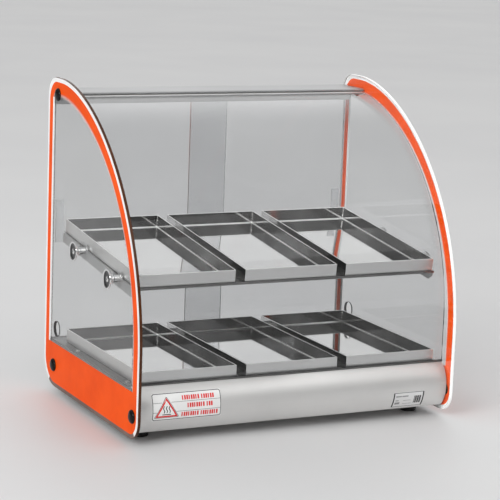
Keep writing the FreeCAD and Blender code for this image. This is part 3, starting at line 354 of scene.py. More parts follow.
def block(low, high, radius, segments=3):
    """A box with rounded edges."""
    bm = bmesh.new()
    bmesh.ops.create_cube(bm, size=1)
    centre = (Vector(low) + Vector(high)) / 2
    size = Vector(high) - Vector(low)
    for v in bm.verts:
        v.co = Vector((v.co.x * size.x, v.co.y * size.y, v.co.z * size.z)) + centre
    if radius:
        bmesh.ops.bevel(bm, geom=bm.edges[:], offset=radius, segments=segments, affect="EDGES", profile=0.5)
    return bm


def in_metres(profile):
    """A profile in mm, as lathe needs it."""
    return [(radius * MM, height * MM) for radius, height in profile]


def lathe(profile, origin, direction, segments=48):
    """Turn a profile of (radius, height) pairs about an axis; a radius of 0 closes an end."""
    bm = bmesh.new()
    turn = Vector((0, 0, 1)).rotation_difference(Vector(direction)).to_matrix()
    rings = []
    for radius, height in profile:
        if radius < 1e-9:
            rings.append([bm.verts.new(turn @ Vector((0, 0, height)) + Vector(origin))])
            continue
        ring = []
        for step in range(segments):
            angle = 2 * math.pi * step / segments
            local = Vector((radius * math.cos(angle), radius * math.sin(angle), height))
            ring.append(bm.verts.new(turn @ local + Vector(origin)))
        rings.append(ring)
    for a, b in zip(rings, rings[1:]):
        for step in range(segments):
            after = (step + 1) % segments
            corners = [a[step % len(a)], a[after % len(a)], b[after % len(b)], b[step % len(b)]]
            unique = list(dict.fromkeys(corners))
            if len(unique) > 2:
                bm.faces.new(unique)
    for ring in (rings[0], rings[-1]):
        if len(ring) > 2:
            bm.faces.new(ring)
    return bm


def bridge(bm, ring_a, ring_b, closed=True):
    """Quads between two rows of vertices. Returns the faces."""
    faces = []
    count = len(ring_a)
    for step in range(count if closed else count - 1):
        after = (step + 1) % count
        faces.append(bm.faces.new((ring_a[step], ring_a[after], ring_b[after], ring_b[step])))
    return faces


def fill(bm, loops):
    """Fill a flat region: the first loop of vertices is its outline, the others are holes."""
    order = [v for loop in loops for v in loop]
    for corners in tessellate_polygon([[v.co for v in loop] for loop in loops]):
        bm.faces.new([order[i] for i in corners])


# ---------------- side glasses

glass_low, glass_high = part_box("side_glass_left")
FRONT, REAR = glass_low.y, glass_high.y
FOOT, TOP = glass_low.z, glass_high.z
CURVE = Vector((0.1215, 0.119))    # (y, z) of the middle of the bow, a quarter superellipse
POWER_Y, POWER_Z = 1.75, 2.02    # its powers
TOP_REAR, LOW_FRONT, LOW_REAR = 0.028, 0.028, 0.042    # corner radii
BAND_FOOT = 0.072    # height where the band meets the orange foot
CAP_SPOTS = ((0.135, 0.4228), (0.135, 0.040), (-0.155, 0.040))
VENT = (0.127, 0.0935, 0.0113)    # y, z and radius
CAP_HOLE, STUD_HOLE = 2.9 * MM, 3 * MM
GLASS_EASE = 0.5 * MM
BOW_STEPS = 72
CORNER_STEPS = 12


def bow_point(centre, reach, share, inset):
    """A point of a quarter superellipse, moved inwards square to it."""
    turn = math.pi / 2 * share
    y = -reach[0] * max(math.cos(turn), 0) ** (2 / POWER_Y)
    z = reach[1] * max(math.sin(turn), 0) ** (2 / POWER_Z)
    slope = Vector((-(abs(y) / reach[0]) ** (POWER_Y - 1) * POWER_Y / reach[0],
                    (z / reach[1]) ** (POWER_Z - 1) * POWER_Z / reach[1])).normalized()
    return centre.x + y - inset * slope.x, centre.y + z - inset * slope.y


def round_corner(centre, radius, start, end, share):
    """A point of an arc between two angles, in degrees."""
    turn = math.radians(start + (end - start) * share)
    return centre[0] + radius * math.cos(turn), centre[1] + radius * math.sin(turn)


def upper_path(front, top, rear, low, ease=0.0):
    """The outline from a height at the front, over the bow and the top, down to it at the rear.

    front, top and rear are how far it lies inside the glass's edge on each stretch, and ease
    makes its top rear corner rounder than the glass's own. Between 45% and 85% of the bow, the
    inset passes smoothly from front to top.
    """
    points = []
    for step in range(6):
        points.append((FRONT + front, low + (CURVE.y - low) * step / 6))
    for step in range(BOW_STEPS):
        share = step / BOW_STEPS
        blend = min(1.0, max(0.0, (share - 0.45) / 0.4))
        inset = front + (top - front) * blend * blend * (3 - 2 * blend)
        points.append(bow_point(CURVE, (CURVE.x - FRONT, TOP - CURVE.y), share, inset))
    bend = TOP_REAR - max(top, rear) + ease
    corner = (REAR - rear - bend, TOP - top - bend)
    for step in range(4):
        points.append((CURVE.x + (corner[0] - CURVE.x) * step / 4, TOP - top))
    for step in range(CORNER_STEPS + 1):
        points.append(round_corner(corner, bend, 90, 0, step / CORNER_STEPS))
    for step in range(1, 9):
        points.append((REAR - rear, corner[1] + (low - corner[1]) * step / 8))
    return points


def full_outline(inset, ease=0.0):
    """The whole outline of the side glass, that far inside its edge."""
    low = FOOT + LOW_FRONT
    points = upper_path(inset, inset, inset, low, ease)
    rear_corner = (REAR - LOW_REAR, FOOT + LOW_REAR)
    points = [p for p in points if not (p[0] > 0 and p[1] < rear_corner[1] + 1e-6)]
    for step in range(CORNER_STEPS + 1):
        points.append(round_corner(rear_corner, LOW_REAR - inset, 0, -90, step / CORNER_STEPS))
    front_corner = (FRONT + LOW_FRONT, FOOT + LOW_FRONT)
    for step in range(1, 8):
        points.append((rear_corner[0] + (front_corner[0] - rear_corner[0]) * step / 8, FOOT + inset))
    for step in range(CORNER_STEPS):
        points.append(round_corner(front_corner, LOW_FRONT - inset, -90, -180, step / CORNER_STEPS))
    return points


def circle_points(y, z, radius, count=32):
    """Points (y, z) round a circle."""
    steps = [2 * math.pi * step / count for step in range(count)]
    return [(y + radius * math.cos(a), z + radius * math.sin(a)) for a in steps]


def ring_of(bm, points, x):
    """Vertices for (y, z) points, all at one x."""
    return [bm.verts.new((x, y, z)) for y, z in points]


KNOB_RADIUS = 13.5 * MM


def stud_spots():
    """The middle of each shelf stud, from the knobs' own places."""
    low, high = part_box("shelf_knobs")
    return ((low.y + KNOB_RADIUS, low.z + KNOB_RADIUS), (high.y - KNOB_RADIUS, high.z - KNOB_RADIUS))


STUDS = stud_spots()
CLEAR, DARK_EDGE, HOLE_EDGE, LIT_EDGE = range(4)


def side_pane(side, sign):
    """A side glass with eased edges and its holes.

    The left one's edge is painted dark brown as shade. The right one's edge is painted white with a faint
    glow as a highlight, apart from its outer ease, which is painted dark as shade too. The vent's bore is
    painted dark as shade.
    """
    low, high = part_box("side_glass_" + side)
    outer = high.x if sign > 0 else low.x
    inner = low.x if sign > 0 else high.x
    bm = bmesh.new()
    steps = ((GLASS_EASE, outer), (0, outer - sign * GLASS_EASE), (0, inner + sign * GLASS_EASE),
             (GLASS_EASE, inner))
    rings = [ring_of(bm, full_outline(inset), x) for inset, x in steps]
    bands = [bridge(bm, a, b) for a, b in zip(rings, rings[1:])]
    for index, faces in enumerate(bands):
        for face in faces:
            # DARK_EDGE is painted shade, LIT_EDGE a painted highlight with a glow
            face.material_index = DARK_EDGE if sign < 0 or index == 0 else LIT_EDGE
    holes = [circle_points(*VENT)]
    holes += [circle_points(y, z, CAP_HOLE, 20) for y, z in CAP_SPOTS]
    holes += [circle_points(y, z, STUD_HOLE, 20) for y, z in STUDS]
    outer_loops = [ring_of(bm, hole, outer) for hole in holes]
    inner_loops = [ring_of(bm, hole, inner) for hole in holes]
    for a, b in zip(outer_loops, inner_loops):
        for face in bridge(bm, a, b):
            # the vent's bore is painted dark as shade
            face.material_index = HOLE_EDGE if a is outer_loops[0] else CLEAR
    fill(bm, [rings[0]] + outer_loops)
    fill(bm, [rings[-1]] + inner_loops)
    name = "side_pane_" + side
    looks = [materials["printed_glass"], glass_edge, hole_edge, edge_painted_highlight]
    piece(name, bm, looks, CASE, ["side_glass_" + side])


def slab(bm, build, x_a, x_b, index):
    """Two copies of a flat layer, joined round their open edges."""
    layers = []
    for x in (x_a, x_b):
        before = set(bm.faces)
        build(x)
        layers.append([f for f in bm.faces if f not in before])
    rims = [{frozenset((round(v.co.y, 8), round(v.co.z, 8)) for v in e.verts): e
             for f in layer for e in f.edges if e.is_boundary} for layer in layers]
    for key, edge in rims[0].items():
        a, b = edge.verts
        c, d = rims[1][key].verts
        if (c.co.yz - a.co.yz).length > (d.co.yz - a.co.yz).length:
            c, d = d, c
        layers[0].append(bm.faces.new((a, b, d, c)))
    for face in layers[0] + layers[1]:
        face.material_index = index


PRINT_GAP, PRINT_THICK = 0.02 * MM, 0.10 * MM
RIM_OUT, RIM_IN = 0.6 * MM, 6 * MM    # how far the rim's two edges lie inside the glass's edge
BAND_IN = (18.5 * MM, 21 * MM, 18.5 * MM)    # the same for the band, at the front, top and rear
FADE_IN = (22.5 * MM, 27.5 * MM, 24 * MM)
PRINT_EASE = 4.5 * MM    # how much rounder than the glass the rim is at the top rear
SHADED_FOOT = 9 * MM    # the left rim is darker up to this height
REAR_STRETCH = 40 * MM    # the fade is white where it runs down the rear
RIM, BAND, FADE, SHADED = range(4)


def side_print(side, sign):
    """The printed border on the outer face: a white rim, the orange band and its dotted inner fade."""
    low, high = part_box("side_glass_" + side)
    face_x = (high.x if sign > 0 else low.x) + sign * PRINT_GAP
    back_x = face_x + sign * PRINT_THICK
    bm = bmesh.new()
    fade = bm.verts.layers.float.new("fade")
    shaded = {}

    def white(x):
        edge = ring_of(bm, full_outline(RIM_OUT), x)
        for face in bridge(bm, edge, ring_of(bm, full_outline(RIM_IN, PRINT_EASE), x)):
            shaded[face] = sign < 0 and face.calc_center_median().z < FOOT + SHADED_FOOT

    def solid(x):
        edge = ring_of(bm, full_outline(RIM_IN, PRINT_EASE), x)
        fill(bm, [edge, ring_of(bm, upper_path(*BAND_IN, BAND_FOOT), x)])

    def dotted(x):
        start = ring_of(bm, upper_path(*BAND_IN, BAND_FOOT), x)
        end = ring_of(bm, upper_path(*FADE_IN, BAND_FOOT), x)
        for v in end:
            v[fade] = 1.0
        bridge(bm, start, end, closed=False)

    slab(bm, white, face_x, back_x, RIM)
    slab(bm, solid, face_x, back_x, BAND)
    slab(bm, dotted, face_x, back_x, FADE)
    for face in bm.faces:
        middle = face.calc_center_median()
        at_rear = middle.y > REAR - REAR_STRETCH and middle.z < TOP - REAR_STRETCH
        if face.material_index == FADE and at_rear:
            face.material_index = RIM
        if shaded.get(face):
            face.material_index = SHADED
    name = "side_print_" + side
    piece(name, bm, [white_rim, orange, orange_fade, shaded_rim], CASE)


for side_name, side_sign in SIDES:
    side_pane(side_name, side_sign)
    side_print(side_name, side_sign)


# ---------------- front glass and doors

GASKET_Y = 0.1115    # front of the gasket, where the drawn front glass ends
GASKET_DOWN, GASKET_UP = 3.6 * MM, 0.9 * MM    # from the top of the front glass
BEAD_SPOT = (0.1052, 0.4232)    # y and z
BEAD_RADIUS = 1.05 * MM
GLASS_FOOT_CURVE = 0.137    # height where the front glass begins to bow


def rail_gasket():
    """The pale gasket that holds the front glass in the slot of the top rail."""
    low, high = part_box("front_glass")
    corner = (high.x, high.y, high.z + GASKET_UP)
    bm = block((low.x, GASKET_Y, high.z - GASKET_DOWN), corner, 0.4 * MM, 2)
    piece("rail_gasket", bm, [materials["white_plastic"]], CASE)


def rail_bead():
    """The slim rounded bead of the top rail that closes onto the front glass."""
    low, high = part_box("top_rail")
    length = high.x - low.x
    ease = 0.2 * MM
    half = [(0, 0), (BEAD_RADIUS - ease, 0), (BEAD_RADIUS, ease)]
    profile = half + [(radius, length - height) for radius, height in reversed(half)]
    bm = lathe(profile, (low.x, *BEAD_SPOT), (1, 0, 0), 20)
    piece("rail_bead", bm, [bead_metal], CASE)


def front_pane():
    """The bowed front glass, finely divided, with pale polished edges."""
    low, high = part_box("front_glass")
    thick = 3 * MM
    centre = Vector((CURVE.x, GLASS_FOOT_CURVE))
    reach = (CURVE.x - low.y, high.z - GLASS_FOOT_CURVE)
    profile = {}
    for inset in (0, thick):
        row = [(low.y + inset, low.z), (low.y + inset, (low.z + GLASS_FOOT_CURVE) / 2)]
        row += [bow_point(centre, reach, step / 64, inset) for step in range(64)]
        profile[inset] = [point for point in row if point[0] < GASKET_Y] + [(GASKET_Y, high.z - inset)]
    bm = bmesh.new()
    ends = {}
    for x in (low.x, high.x):
        ends[x] = (ring_of(bm, profile[0], x), ring_of(bm, profile[thick], x))
    left, right = ends[low.x], ends[high.x]
    bridge(bm, left[0], right[0], closed=False)
    bridge(bm, right[1], left[1], closed=False)
    edges = bridge(bm, left[0], left[1], closed=False) + bridge(bm, right[0], right[1], closed=False)
    for index in (0, -1):
        edges.append(bm.faces.new((left[0][index], right[0][index], right[1][index], left[1][index])))
    for face in edges:
        face.material_index = 1
    piece("front_pane", bm, [materials["clear_glass"], clear_edge], CASE, ["front_glass"])


def door_pane(side):
    """A sliding glass with eased, paler edges."""
    low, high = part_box("rear_door_" + side)
    bm = block(low, high, 0.5 * MM, 2)
    middle = (low.y + high.y) / 2
    for face in bm.faces:
        at_face = abs(face.calc_center_median().y - middle) > (high.y - low.y) / 2 - 0.05 * MM
        face.material_index = 0 if at_face else 1
    name = "door_pane_" + side
    piece(name, bm, [door_glass, clear_edge], "rear_door_%s_body" % side,
          ["rear_door_" + side])


def door_pull(side):
    """A clear pull with a soft-edged ridge, bonded to the door."""
    low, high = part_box("door_pull_" + side)
    ridge = 2.4 * MM
    bm = bmesh.new()
    merge(bm, block(low, (high.x, low.y + 1 * MM, high.z), 0.3 * MM, 2), 0)
    merge(bm, block((low.x, low.y + 0.9 * MM, low.z), (low.x + ridge, high.y, high.z), 0.4 * MM, 2), 0)
    name = "clear_pull_" + side
    piece(name, bm, [clear_acrylic], "rear_door_%s_body" % side,
          ["door_pull_" + side])


front_pane()
rail_gasket()
rail_bead()
for side_name, _ in SIDES:
    door_pane(side_name)
    door_pull(side_name)


# ---------------- pans

# SHADED_WALL is painted shade and PAINTED_HIGHLIGHT a painted highlight
SATIN, MIRROR, SHADED_WALL, PAINTED_HIGHLIGHT = range(4)
SHELF_TILT = math.radians(6.5)


def pan_mesh(width, depth, height, polished_sides):
    """A folded pan with a hemmed rim: mirror inside and between neighbours, satin on what faces out."""
    wall = 0.9 * MM
    hem = 1.5 * MM
    bm = bmesh.new()

    def loop(inset, z, bend):
        half = width / 2 - inset
        back = depth - inset
        points = []
        for x, y, start in ((half, back, 0), (-half, back, 90), (-half, inset, 180), (half, inset, 270)):
            centre = Vector((x - math.copysign(bend, x), y - bend if start < 180 else y + bend, 0))
            for step in range(4):
                turn = math.radians(start + 90 * step / 3)
                points.append(centre + Vector((bend * math.cos(turn), bend * math.sin(turn), z)))
        return [bm.verts.new(p) for p in points]

    # From the underside up the outside, over the hem and down the inside to the floor: the inset, the
    # height and the corner radius in mm. The looks change at the three indices below.
    fold = 1.3 * MM
    sections = [(fold, 0, 0.6), (fold * 0.3, fold * 0.3, 1.0), (0, fold, 1.2), (0, height - 0.4 * MM, 1.2),
                (0.35 * MM, height, 1.1), (hem - 0.35 * MM, height, 0.8), (hem, height - 0.4 * MM, 0.35),
                (hem, height - 3.2 * MM, 0.3), (wall, height - 3.4 * MM, 0.35), (wall, wall + fold, 0.35),
                (wall + fold * 0.3, wall + fold * 0.3, 0.3), (wall + fold, wall, 0.25)]
    rings = [loop(inset, z, bend * MM) for inset, z, bend in sections]
    rim_from = 3
    inside_from = 6
    fold_from = 9
    for index, (a, b) in enumerate(zip(rings, rings[1:])):
        for face in bridge(bm, a, b):
            # the rim's top and the folds get the painted highlight, the inner walls the painted shade
            bright = index >= fold_from or rim_from <= index < inside_from
            face.material_index = PAINTED_HIGHLIGHT if bright else SHADED_WALL if index >= inside_from else SATIN
    bm.faces.new(rings[0]).material_index = SATIN
    bm.faces.new(rings[-1]).material_index = MIRROR
    bm.normal_update()
    for face in bm.faces:
        side = math.copysign(1, face.calc_center_median().x)
        if abs(face.normal.x) > 0.9 and side in polished_sides and face.material_index == SATIN:
            face.material_index = MIRROR
    return bm


def pans():
    """Three pans flat on the deck and three on the sloping shelf."""
    low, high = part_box("lower_pan_middle")
    width, depth, height = high - low
    looks = [materials["pan_steel"], mirror, wall_painted_shade, painted_highlight_steel]
    facing_neighbours = {"left": (1,), "middle": (-1, 1), "right": (-1,)}
    for level in ("lower", "upper"):
        for column in COLUMNS:
            node = "%s_pan_%s" % (level, column)
            low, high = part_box(node)
            x = (low.x + high.x) / 2
            if level == "lower":
                spot = Matrix.Translation((x, low.y, low.z))
            else:
                spot = Matrix.Translation((x, low.y + height * math.sin(SHELF_TILT), low.z))
                spot = spot @ Matrix.Rotation(SHELF_TILT, 4, "X")
            bm = pan_mesh(width, depth, height, facing_neighbours[column])
            bm.transform(spot)
            name = "folded_pan_%s_%s" % (level, column)
            piece(name, bm, looks, node + "_body", [node], sharp=12)


pans()


# ---------------- knobs, caps and feet

KNOB_STAGES = (    # (look, profile): the knob on its stud, a dark lining of its dish that paints its dark reflections, the screw's head; mm
    (0, [(0, -13.4), (2.2, -13.4), (2.5, -13), (2.5, 0), (7.0, 0), (7.5, 0.4), (7.5, 1.1), (7.0, 1.6),
         (5.0, 1.7), (4.5, 2.1), (4.5, 3.9), (5.2, 4.5), (9.0, 5.1), (12.4, 5.9), (13.2, 6.4), (13.5, 7.0),
         (13.4, 7.6), (13.0, 8.0), (12.2, 7.9), (10.9, 7.4), (10.9, 6.0), (0, 6.0)]),
    (2, [(11.0, 6.6), (11.0, 7.42), (8.7, 6.8), (6.4, 6.5), (4.0, 6.4), (0, 6.4), (0, 6.2), (9.5, 6.2)]),
    (0, [(0, 6.3), (4.1, 6.3), (4.1, 6.9), (3.5, 7.4), (2.2, 7.65), (0, 7.75)]),
)
CROSS_LONG, CROSS_WIDE = 1.8 * MM, 0.35 * MM    # half the sizes of the recess, a black cross that paints the shade in it
CROSS_FROM, CROSS_TO = 7.3 * MM, 7.85 * MM
CAP_RADIUS, CAP_BRIM = 9.2, 0.8    # mm, like the profiles
PRINT_SEAT = 0.14    # the top caps sit on the printed band, just clear of it


def shelf_knobs():
    """Dished chrome knobs, each with a small cross-recess screw in its dish and a stud to the bracket; a dark
    lining of the dish paints its dark reflections and a black cross paints the shade in the recess.
    """
    bm = bmesh.new()
    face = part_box("side_glass_right")[1].x
    for sign in (-1, 1):
        for y, z in STUDS:
            for look, profile in KNOB_STAGES:
                merge(bm, lathe(in_metres(profile), (sign * face, y, z), (sign, 0, 0), 56), look)
            near, far = sorted((sign * (face + CROSS_FROM), sign * (face + CROSS_TO)))
            # black crosses over the screw heads: painted shade in their recesses
            for deep, tall in ((CROSS_LONG, CROSS_WIDE), (CROSS_WIDE, CROSS_LONG)):
                cross = block((near, y - deep, z - tall), (far, y + deep, z + tall), 0.08 * MM, 1)
                merge(bm, cross, 1)
    looks = [materials["chrome"], ink_black, dish_painted_reflection]
    piece("dished_knobs", bm, looks, CASE, ["shelf_knobs"])


def cap_screws():
    """Full domed black caps on the side glasses, each on its screw, which is sleeved in the band's colour."""
    bm = bmesh.new()
    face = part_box("side_glass_right")[1].x
    tall = (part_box("panel_cap_screws")[1].x - face) / MM
    dome = []
    for step in range(10):
        turn = step * math.pi / 20
        dome.append((CAP_RADIUS * math.cos(turn), CAP_BRIM + (tall - CAP_BRIM) * math.sin(turn)))
    shank = in_metres([(0, -16), (2.2, -16), (2.4, -15.8), (2.4, 0), (0, 0)])
    for sign in (-1, 1):
        for y, z in CAP_SPOTS:
            seat = PRINT_SEAT if z > CURVE.y else 0
            base = [(0, seat), (CAP_RADIUS - 0.4, seat), (CAP_RADIUS, seat + 0.4)]
            profile = in_metres(base + dome + [(0, tall)])
            merge(bm, lathe(profile, (sign * face, y, z), (sign, 0, 0), 40), 0)
            merge(bm, lathe(shank, (sign * face, y, z), (sign, 0, 0), 24), 1)
    looks = [materials["black_plastic"], orange]
    piece("domed_caps", bm, looks, CASE, ["panel_cap_screws"])


def rubber_feet():
    """Round feet with a step half way up and a recess for the screw from below."""
    for end in ("front", "rear"):
        for side, _ in SIDES:
            node = "foot_%s_%s" % (end, side)
            low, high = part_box(node)
            radius = (high.x - low.x) / 2 / MM
            tall = (high.z - low.z) / MM
            profile = [(5.0, 8.4), (5.0, 0.6), (5.6, 0.1), (6.2, 0), (radius - 3.6, 0), (radius - 2.4, 0.5),
                       (radius - 1.9, 1.6), (radius - 1.2, tall * 0.42), (radius - 0.9, tall * 0.46),
                       (radius - 0.5, tall * 0.48), (radius - 0.2, tall * 0.9), (radius, tall - 0.9),
                       (radius - 0.2, tall - 0.3), (radius - 0.8, tall), (2.4, tall), (2.4, 8.4)]
            profile.append(profile[0])    # a closed ring, so the flat ends are taken out again
            spot = ((low.x + high.x) / 2, (low.y + high.y) / 2, low.z)
            bm = lathe(in_metres(profile), spot, (0, 0, 1), 48)
            bmesh.ops.remove_doubles(bm, verts=bm.verts, dist=1e-7)
            flat_ends = [f for f in bm.faces if len(f.verts) > 4]
            bmesh.ops.delete(bm, geom=flat_ends, context="FACES_ONLY")
            name = "ribbed_" + node
            piece(name, bm, [materials["black_rubber"]], CASE, [node])


shelf_knobs()
cap_screws()
rubber_feet()


# ---------------- label and plate on the fascia

ROUND = Vector((-0.1215, 0.0455))       # (y, z) of the middle of the fascia's curve
ROUND_RADIUS = 0.0415
INK_BASE, INK_TOP = 0.005 * MM, 0.04 * MM


class Wrapped:
    """Flat artwork laid round the fascia: u runs along X and v round the curve, both in mm."""

    def __init__(self, node, thickness):
        low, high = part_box(node)
        self.x = (low.x + high.x) / 2
        self.radius = ROUND_RADIUS + thickness
        lower = math.asin((low.z - ROUND.y) / self.radius)
        upper = math.asin(min(1.0, (high.z - ROUND.y) / self.radius))
        self.angle = (lower + upper) / 2
        self.half_width = (high.x - low.x) / 2 / MM
        self.half_height = (upper - lower) / 2 * self.radius / MM
        self.bm = bmesh.new()

    def spot(self, u, v, lift):
        """The place of a point of the artwork, lifted off the label."""
        radius = self.radius + lift
        turn = self.angle + v * MM / self.radius
        return Vector((self.x + u * MM, ROUND.x - radius * math.cos(turn), ROUND.y + radius * math.sin(turn)))

    def strip(self, rows, index):
        """A closed thin band between two edges, each a list of (u, v)."""
        top, base = ([[self.bm.verts.new(self.spot(u, v, lift)) for u, v in row] for row in rows]
                     for lift in (INK_TOP, INK_BASE))
        faces = bridge(self.bm, top[0], top[1], closed=False)
        faces += bridge(self.bm, base[1], base[0], closed=False)
        for side in (0, 1):
            faces += bridge(self.bm, top[side], base[side], closed=False)
        if (Vector(rows[0][0]) - Vector(rows[0][-1])).length > 1e-6:
            for end in (0, -1):
                faces.append(self.bm.faces.new((top[0][end], top[1][end], base[1][end], base[0][end])))
        for face in faces:
            face.material_index = index

    def bar(self, u, v, width, height, index):
        """An upright rectangle from its low corner, divided so that it follows the round."""
        steps = max(1, round(height / 2))
        rows = [[(side, v + height * step / steps) for step in range(steps + 1)] for side in (u, u + width)]
        self.strip(rows, index)

    def frame(self, outer, inner, index):
        """A closed frame between two loops with matching points."""
        self.strip([outer + outer[:1], inner + inner[:1]], index)

    def done(self, name, looks):
        """Close the artwork's seams and put it into the scene."""
        bmesh.ops.remove_doubles(self.bm, verts=self.bm.verts, dist=1e-7)
        piece(name, self.bm, looks, CASE)


def divided(points, longest, steps):
    """A closed loop with more points along every side that is longer than that."""
    result = []
    for a, b in zip(points, points[1:] + points[:1]):
        result.append(a)
        if math.hypot(b[0] - a[0], b[1] - a[1]) > longest:
            for step in range(1, steps):
                result.append((a[0] + (b[0] - a[0]) * step / steps, a[1] + (b[1] - a[1]) * step / steps))
    return result


def rounded_loop(half_width, half_height, radius):
    """A rectangle with rounded corners, with points along its sides too."""
    points = []
    corners = ((1, 1, 0), (-1, 1, 90), (-1, -1, 180), (1, -1, 270))
    for sx, sy, start in corners:
        cx, cy = sx * (half_width - radius), sy * (half_height - radius)
        for step in range(7):
            points.append(round_corner((cx, cy), radius, start, start + 90, step / 6))
    return divided(points, 3, 12)


def triangle_loop(centre, size, radius):
    """A triangle with rounded corners, point up, with points along its sides."""
    points = []
    for index in range(3):
        turn = math.radians(90 + 120 * index)
        corner = Vector((centre[0] + size * math.cos(turn), centre[1] + size * math.sin(turn) * 0.92))
        inward = (Vector(centre) - corner).normalized()
        middle = corner + inward * radius * 2
        for step in range(5):
            angle = turn - math.radians(60) + math.radians(120) * step / 4
            points.append((middle.x + radius * math.cos(angle), middle.y + radius * math.sin(angle)))
    return divided(points, 4, 10)


BLACK, RED, GREY = range(3)
BLOCK_TALL, BLOCK_PITCH, WORD_GAP = 5.9, 3.15, 2.0


def label_art():
    """A plain hot-surface label: a border, a triangle with three heat waves, and blocks for words.

    Thin grey lines part the rows, broken where the triangle stands.
    """
    art = Wrapped("warning_label", 0.3 * MM)
    w, h = art.half_width - 0.5, art.half_height - 0.5
    art.frame(rounded_loop(w, h, 3.0), rounded_loop(w - 0.9, h - 0.9, 2.2), BLACK)
    centre = (-w + 20.0, -5.2)
    art.frame(triangle_loop(centre, 20.8, 1.2), triangle_loop(centre, 19.1, 1.0), GREY)
    art.frame(triangle_loop(centre, 18.6, 0.9), triangle_loop(centre, 14.4, 0.5), RED)
    for index in range(3):
        base = centre[0] - 4.4 + 3.9 * index
        wave = []
        for step in range(17):
            v = centre[1] - 3.0 + 9.0 * step / 16
            wave.append((base + 0.8 * math.sin(step / 16 * 2.2 * math.pi), v))
        art.strip([wave, [(u + 1.25, v) for u, v in wave]], BLACK)
    art.bar(centre[0] - 6.1, centre[1] - 5.7, 12.2, 1.2, BLACK)
    for v, left_end in ((5.2, centre[0] - 6.5), (-7.3, centre[0] - 13.5)):
        art.bar(-w + 0.9, v, left_end + w - 0.9, 0.6, GREY)
        start = 2 * centre[0] - left_end
        art.bar(start, v, w - 0.9 - start, 0.6, GREY)
    words = ((-6.4, 7.4, (8, 6)), (0.6, -3.0, (8, 3)), (-7.6, -14.4, (8, 8)))    # u, v and blocks
    for start, v, counts in words:
        u = start
        for count in counts:
            for index in range(count):
                art.bar(u, v, 2.3 if index % 3 else 1.7, BLOCK_TALL, RED)
                u += BLOCK_PITCH
            u += WORD_GAP
    art.done("label_art", [ink_black, ink_red, ink_grey])


def plate_art():
    """A plain rating plate: a border with bold ends, a few grey bars and a block of upright bars."""
    art = Wrapped("rating_plate", 0.4 * MM)
    w, h = art.half_width - 0.5, art.half_height - 0.5
    art.frame(rounded_loop(w, h, 0.8), rounded_loop(w - 0.7, h - 0.7, 0.4), 0)
    for u in (-w, w - 2.0):
        art.bar(u, -h + 0.4, 2.0, 2 * h - 0.8, 0)
    lines = ((-20, 5.2, 9, 1.7), (-10.2, 5.2, 9.5, 1.7), (-20, -1.0, 5.2, 1.3), (-20, -6.8, 7.5, 3.6),
             (-8, -6.6, 14, 0.6), (-8, -1.0, 12, 0.6))
    for u, v, width, height in lines:
        art.bar(u, v, width, height, 1)
    for index in range(7):
        art.bar(9.0 + index * 1.65, -6.2, 1.45 if index % 2 else 0.9, 12.0, 0)
    art.done("plate_art", [ink_black, ink_grey])


label_art()
plate_art()


# ---------------- rear controls

FLUTES = 24


def dial():
    """A fluted dial with a grip across it and a white pointer on the grip."""
    low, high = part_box("thermostat_dial")
    centre = Vector(((low.x + high.x) / 2, low.y, (low.z + high.z) / 2))
    radius = (high.x - low.x) / 2 / MM
    deep = (high.y - low.y) / MM
    profile = [(3.0, 0), (radius - 0.5, 0), (radius, 0.5), (radius, 2.8), (radius - 0.6, 3.5),
               (radius - 2.2, 3.9), (radius - 2.8, 4.5), (radius - 3.3, deep - 2.4),
               (radius - 3.9, deep - 1.7), (radius - 5, deep - 1.5), (3, deep - 1.6), (0, deep - 1.6)]
    bm = bmesh.new()
    body = lathe(in_metres(profile), centre, (0, 1, 0), 96)
    for v in body.verts:
        height = (v.co.y - centre.y) / MM
        arm = Vector((v.co.x - centre.x, v.co.z - centre.z))
        if 4.4 < height < deep - 2 and arm.length > (radius - 4) * MM:
            angle = math.atan2(arm.y, arm.x)
            arm *= 1 - 0.028 * (0.5 + 0.5 * math.cos(angle * FLUTES))
            v.co.x, v.co.z = centre.x + arm.x, centre.z + arm.y
    merge(bm, body, 0)
    grip_low = (centre.x - 2.8 * MM, low.y + (deep - 2.2) * MM, centre.z - (radius - 3.6) * MM)
    grip_high = (centre.x + 2.8 * MM, high.y - 0.15 * MM, centre.z + (radius - 3.6) * MM)
    merge(bm, block(grip_low, grip_high, 0.6 * MM), 0)
    mark_low = (centre.x - 0.6 * MM, high.y - 0.4 * MM, centre.z + 2 * MM)
    mark_high = (centre.x + 0.6 * MM, high.y - 0.01 * MM, centre.z + (radius - 4.6) * MM)
    merge(bm, block(mark_low, mark_high, 0), 1)
    piece("fluted_dial", bm, [materials["black_plastic"], white_paint],
          "thermostat_dial_body", ["thermostat_dial"])


def scale_marks():
    """Ticks round the dial, every third one longer, without figures."""
    low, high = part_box("dial_scale_plate")
    centre = Vector(((low.x + high.x) / 2, high.y, (low.z + high.z) / 2))
    bm = bmesh.new()
    for index in range(19):
        turn = math.radians(225 - 15 * index)
        reach = (17.8 if index % 3 else 19.6) * MM
        tick = block((15.9 * MM, -0.02 * MM, -0.3 * MM), (reach, 0.05 * MM, 0.3 * MM), 0)
        spin = Matrix.Rotation(-turn, 4, "Y")
        tick.transform(Matrix.Translation(centre) @ spin)
        merge(bm, tick, 0)
    piece("scale_marks", bm, [ink_black], CASE)


dial()
scale_marks()


# ---------------- floor, light and camera

FLOOR = 30    # half its size
CAMERA_SPOT = (-1.19054, -2.41731, 0.71704)
CAMERA_TURN = (26.241, -10.486, 2.109)    # yaw, pitch and roll in degrees
CAMERA_LENS = 142.07


